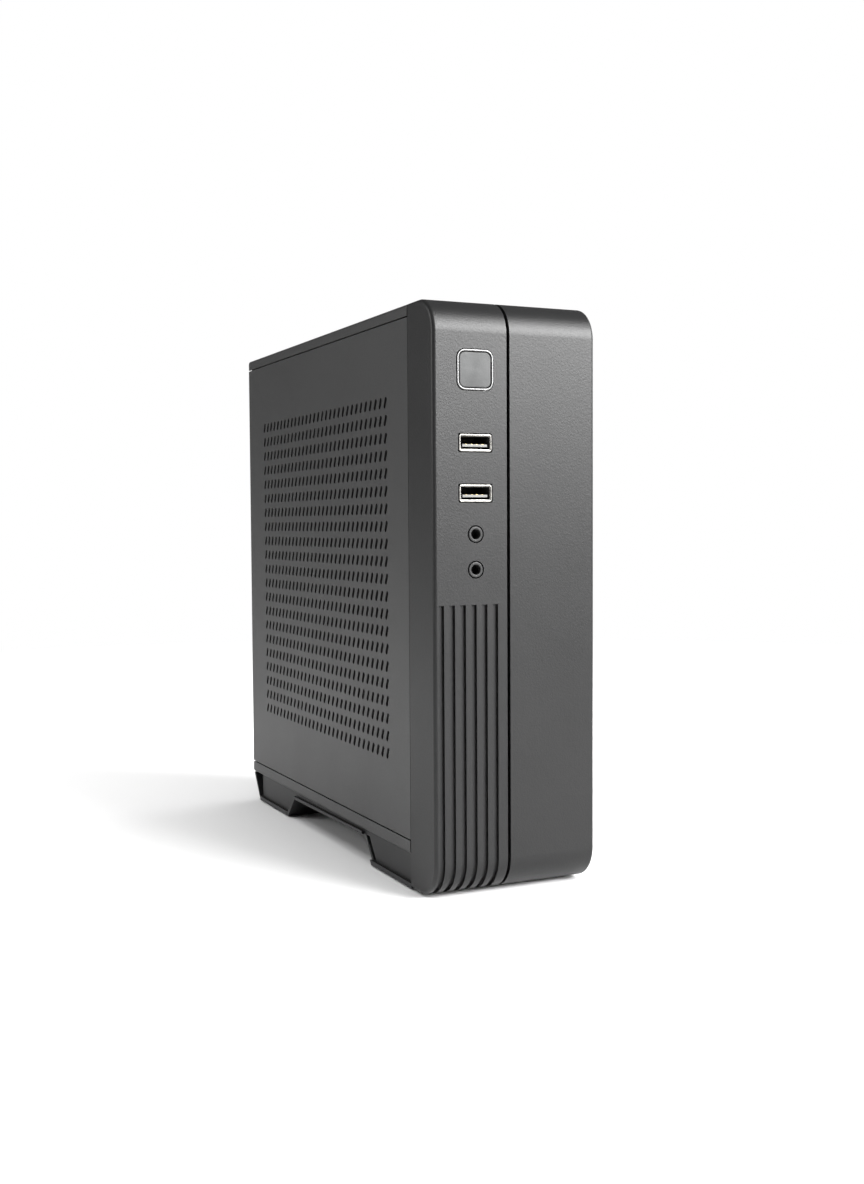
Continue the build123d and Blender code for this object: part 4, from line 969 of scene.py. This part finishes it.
def label_face(piece, side_x):
    """Set a plain paper label into the piece's broad outer face."""
    add_finish(piece, "label_paper")
    with shaping(piece):
        choose(piece, lambda centre, normal: normal.x < -0.99 and centre.x < side_x + 0.02 * MM)
        bpy.ops.mesh.inset(thickness=5 * MM)
        bpy.ops.object.material_slot_assign()


# Chips of the board: the middle's y and z, the length, the width and the height, in millimetres.
BOARD_CHIPS = (
    (22, 98, 12, 12, 1.1),
    (40, 99, 9, 9, 0.9),
    (47, 89, 6, 5, 0.9),
    (13, 89, 5, 4, 0.8),
    (86.5, 76, 5, 6, 0.9),
    (86.5, 126, 5, 7, 0.9),
    (86.5, 178, 6, 6, 0.9),
    (-44, 51, 8, 5, 1.0),
)
# Rows of resistors: the first one's y and z, how many, and the step along y and z, in millimetres.
RESISTOR_ROWS = (
    (8, 104, 9, 1.6, 0.0),
    (30, 88.5, 6, 1.9, 0.0),
    (86.5, 88, 8, 0.0, 2.2),
    (86.5, 140, 10, 0.0, 2.2),
    (6, 96, 6, 0.0, -2.2),
    (-30, 51.5, 8, 2.1, 0.0),
    (8, 211.5, 12, 2.2, 0.0),
    (33, 92.5, 4, 0.0, 2.3),
)


def copies(piece, steps):
    """Copy a piece by each of these steps and join the copies to it."""
    made = [piece]
    for step in steps:
        pick(piece)
        bpy.ops.object.duplicate(linked=False)
        twin = bpy.context.object
        bpy.ops.transform.translate(value=step)
        settle(twin)
        made.append(twin)
    return joined(piece.name, made)


def build_board_parts(face_x):
    """Chips, resistors and pin headers soldered to the board's face."""
    chips = []
    for y, z, length, width, height in BOARD_CHIPS:
        place = (face_x - height * MM / 2, y * MM, z * MM)
        size = (height * MM, length * MM, width * MM)
        chip = rounded_block("chip", place, size, 0.25 * MM, axis=0, segments=2)
        soften(chip, 0.1 * MM)
        chips.append(chip)
    dress(joined("board_chips", chips), "black_plastic")
    rows = []
    for y, z, count, step_y, step_z in RESISTOR_ROWS:
        place = (face_x - 0.25 * MM, y * MM, z * MM)
        size = (0.5 * MM, 0.8 * MM, 1.5 * MM)
        resistor = rounded_block("resistor", place, size, 0.08 * MM, axis=0, segments=1)
        soften(resistor, 0.05 * MM, 1)
        rows.append(copies(resistor, [(0, k * step_y * MM, k * step_z * MM) for k in range(1, count)]))
    resistors = dress(joined("board_resistors", rows), "black_plastic")
    line_with(resistors, "plain_steel", lambda centre, normal: abs(normal.z) > 0.6)
    build_pin_header("lower_pin_header", face_x, (-52.0, 51.5), (2, 5))
    build_pin_header("upper_pin_header", face_x, (-20.0, 211.0), (4, 2))


def build_pin_header(name, face_x, place, counts):
    """Rows of square pins on a low black strip; the place and the counts run along y, then z."""
    pitch, strip, reach, pin_side = 2.54 * MM, 2.5 * MM, 8.4 * MM, 0.64 * MM
    across, up = counts
    middle = Vector((face_x - strip / 2, place[0] * MM, place[1] * MM))
    size = Vector((strip, across * pitch, up * pitch))
    base = rounded_block("strip", middle, size, 0.3 * MM, axis=0, segments=2)
    soften(base, 0.12 * MM)
    corner = middle - size / 2
    pin_place = (face_x - reach / 2, corner.y + pitch / 2, corner.z + pitch / 2)
    pin = rounded_block("pin", pin_place, (reach, pin_side, pin_side), 0.1 * MM, axis=0, segments=1)
    pins = copies(pin, [(0, a * pitch, b * pitch) for a in range(across) for b in range(up) if a or b])
    smooth(pins)
    header = dress(joined(name, [base, pins]), "black_plastic")
    line_with(header, "contact_brass", lambda centre, normal: centre.x < face_x - strip - 0.1 * MM)


# ---------------------------------------------------------------- stage


class BuildStage(bpy.types.Operator):
    """Pale floor, soft lights and the camera"""

    bl_idname = "computer.build_stage"
    bl_label = "Stage"

    def execute(self, context):
        make_floor()
        make_lights()
        make_camera()
        return {"FINISHED"}


CAMERA_PLACE = Vector((-0.25599, -0.58624, 0.14781))
CAMERA_YAW = 0.437771
CAMERA_PITCH = -0.050405
CAMERA_ROLL = -0.006041
CAMERA_LENS = 41.03


def make_camera():
    """A camera at the front left, a little above half the case's height."""
    data = bpy.data.cameras.new("Camera")
    data.lens = CAMERA_LENS
    data.sensor_width = 36.0
    data.clip_start = 0.01
    data.clip_end = 60.0
    camera = bpy.data.objects.new("Camera", data)
    bpy.context.scene.collection.objects.link(camera)
    ahead = Vector(
        (
            sin(CAMERA_YAW) * cos(CAMERA_PITCH),
            cos(CAMERA_YAW) * cos(CAMERA_PITCH),
            sin(CAMERA_PITCH),
        )
    )
    level = Vector((cos(CAMERA_YAW), -sin(CAMERA_YAW), 0.0))
    upward = level.cross(ahead)
    right = level * cos(CAMERA_ROLL) + upward * sin(CAMERA_ROLL)
    up = upward * cos(CAMERA_ROLL) - level * sin(CAMERA_ROLL)
    turn = Matrix((right, up, -ahead)).transposed()
    camera.matrix_world = Matrix.Translation(CAMERA_PLACE) @ turn.to_4x4()
    bpy.context.scene.camera = camera


def make_floor():
    """A wide pale floor, whose far reaches run out into plain white."""
    size = bpy.context.scene.computer_sizes.floor_size
    bpy.ops.object.select_all(action="DESELECT")
    bpy.ops.mesh.primitive_plane_add(size=size)
    floor = bpy.context.object
    floor.name = "pale_floor"
    finish = Finish("Pale floor")
    finish.set(Specular_IOR_Level=0.1)
    paper = finish.noise(3 * MM, detail=3.0)
    colour = bpy.context.scene.computer_colours.floor
    tone = finish.blend(paper, tinted(colour, 0.995), tinted(colour, 1.005))
    reach = finish.add("ShaderNodeVectorMath", operation="LENGTH")
    finish.link(finish.places, reach.inputs[0])
    fade = finish.between(reach.outputs["Value"], 0.0, 1.0, 0.45, 1.1)
    glow = finish.add("ShaderNodeEmission")
    rays = finish.add("ShaderNodeLightPath")
    finish.link(finish.between(rays.outputs["Is Camera Ray"], 0.7, 1.0), glow.inputs["Strength"])
    mix = finish.add("ShaderNodeMixShader")
    finish.link(fade, mix.inputs["Fac"])
    finish.link(finish.shader.outputs["BSDF"], mix.inputs[1])
    finish.link(glow.outputs["Emission"], mix.inputs[2])
    finish.link(mix.outputs["Shader"], finish.tree.nodes["Material Output"].inputs["Surface"])
    floor.data.materials.append(finish.done(tone, finish.between(paper, 0.7, 0.8)))


def softbox(name, place, aim, size, power, seen=True):
    """One soft light that faces its aim and, unless seen, leaves no reflection."""
    data = bpy.data.lights.new(name, "AREA")
    data.shape = "RECTANGLE"
    data.size, data.size_y = size
    data.energy = power
    light = bpy.data.objects.new(name, data)
    light.location = place
    light.rotation_euler = (Vector(aim) - Vector(place)).to_track_quat("-Z", "Y").to_euler()
    light.visible_camera = False
    light.visible_glossy = seen
    bpy.context.scene.collection.objects.link(light)


def make_lights():
    """A large softbox at the front right, a strip over it, an overhead fill and two dim side lights."""
    centre = Vector((0, 0, 0.12))
    softbox("front softbox", (0.85, -1.3, 0.82), (0, 0, 0.35), (1.1, 0.8), 84.0)
    softbox("top strip", (0.45, -0.95, 1.2), centre, (1.1, 0.25), 13.0)
    softbox("overhead fill", (0.0, 0.0, 1.8), (0, 0, 0), (2.6, 2.6), 55.0, seen=False)
    softbox("left softbox", (-1.3, 0.6, 0.6), centre, (1.0, 0.8), 9.0)
    softbox("right softbox", (1.5, 0.55, 0.7), centre, (0.9, 0.9), 9.0)
    make_surround()


def make_surround():
    """A dim grey world, which the camera itself sees as plain white."""
    world = bpy.data.worlds.new("Surround")
    world.use_nodes = True
    tree = world.node_tree
    tree.nodes.clear()
    coordinates = tree.nodes.new("ShaderNodeTexCoord")
    split = tree.nodes.new("ShaderNodeSeparateXYZ")
    tree.links.new(coordinates.outputs["Generated"], split.inputs[0])
    ramp = tree.nodes.new("ShaderNodeValToRGB")
    ramp.color_ramp.elements[0].position = 0.0
    ramp.color_ramp.elements[0].color = (0.14, 0.14, 0.14, 1)
    ramp.color_ramp.elements[1].position = 0.35
    ramp.color_ramp.elements[1].color = (0.13, 0.13, 0.13, 1)
    tree.links.new(split.outputs["Z"], ramp.inputs["Fac"])
    surround = tree.nodes.new("ShaderNodeBackground")
    tree.links.new(ramp.outputs["Color"], surround.inputs["Color"])
    white = tree.nodes.new("ShaderNodeBackground")
    white.inputs["Color"].default_value = (1, 1, 1, 1)
    rays = tree.nodes.new("ShaderNodeLightPath")
    mix = tree.nodes.new("ShaderNodeMixShader")
    tree.links.new(rays.outputs["Is Camera Ray"], mix.inputs["Fac"])
    tree.links.new(surround.outputs["Background"], mix.inputs[1])
    tree.links.new(white.outputs["Background"], mix.inputs[2])
    output = tree.nodes.new("ShaderNodeOutputWorld")
    tree.links.new(mix.outputs["Shader"], output.inputs["Surface"])
    bpy.context.scene.world = world
    bpy.context.scene.view_settings.view_transform = "Standard"


# ---------------------------------------------------------------- panel and registration

STEPS = (FinishFrame, BuildCasing, BuildButton, BuildSockets, BuildRear, BuildInside, BuildStage)


class ComputerPanel(bpy.types.Panel):
    """Lists the sizes, the colours and the steps that build the computer"""

    bl_idname = "COMPUTER_PT_main"
    bl_label = "Mini computer"
    bl_space_type = "VIEW_3D"
    bl_region_type = "UI"
    bl_category = "Mini PC"

    def draw(self, context):
        for group in (context.scene.computer_sizes, context.scene.computer_colours):
            box = self.layout.box()
            for name in group.__annotations__:
                box.prop(group, name)
        for step in STEPS:
            self.layout.operator(step.bl_idname)


CLASSES = (ComputerSizes, ComputerColours, *STEPS, ComputerPanel)


def register():
    for item in CLASSES:
        bpy.utils.register_class(item)
    bpy.types.Scene.computer_sizes = bpy.props.PointerProperty(type=ComputerSizes)
    bpy.types.Scene.computer_colours = bpy.props.PointerProperty(type=ComputerColours)


def unregister():
    del bpy.types.Scene.computer_colours
    del bpy.types.Scene.computer_sizes
    for item in reversed(CLASSES):
        bpy.utils.unregister_class(item)


def main():
    register()
    for step in STEPS:
        area, name = step.bl_idname.split(".")
        getattr(getattr(bpy.ops, area), name)()


if __name__ == "__main__":
    main()
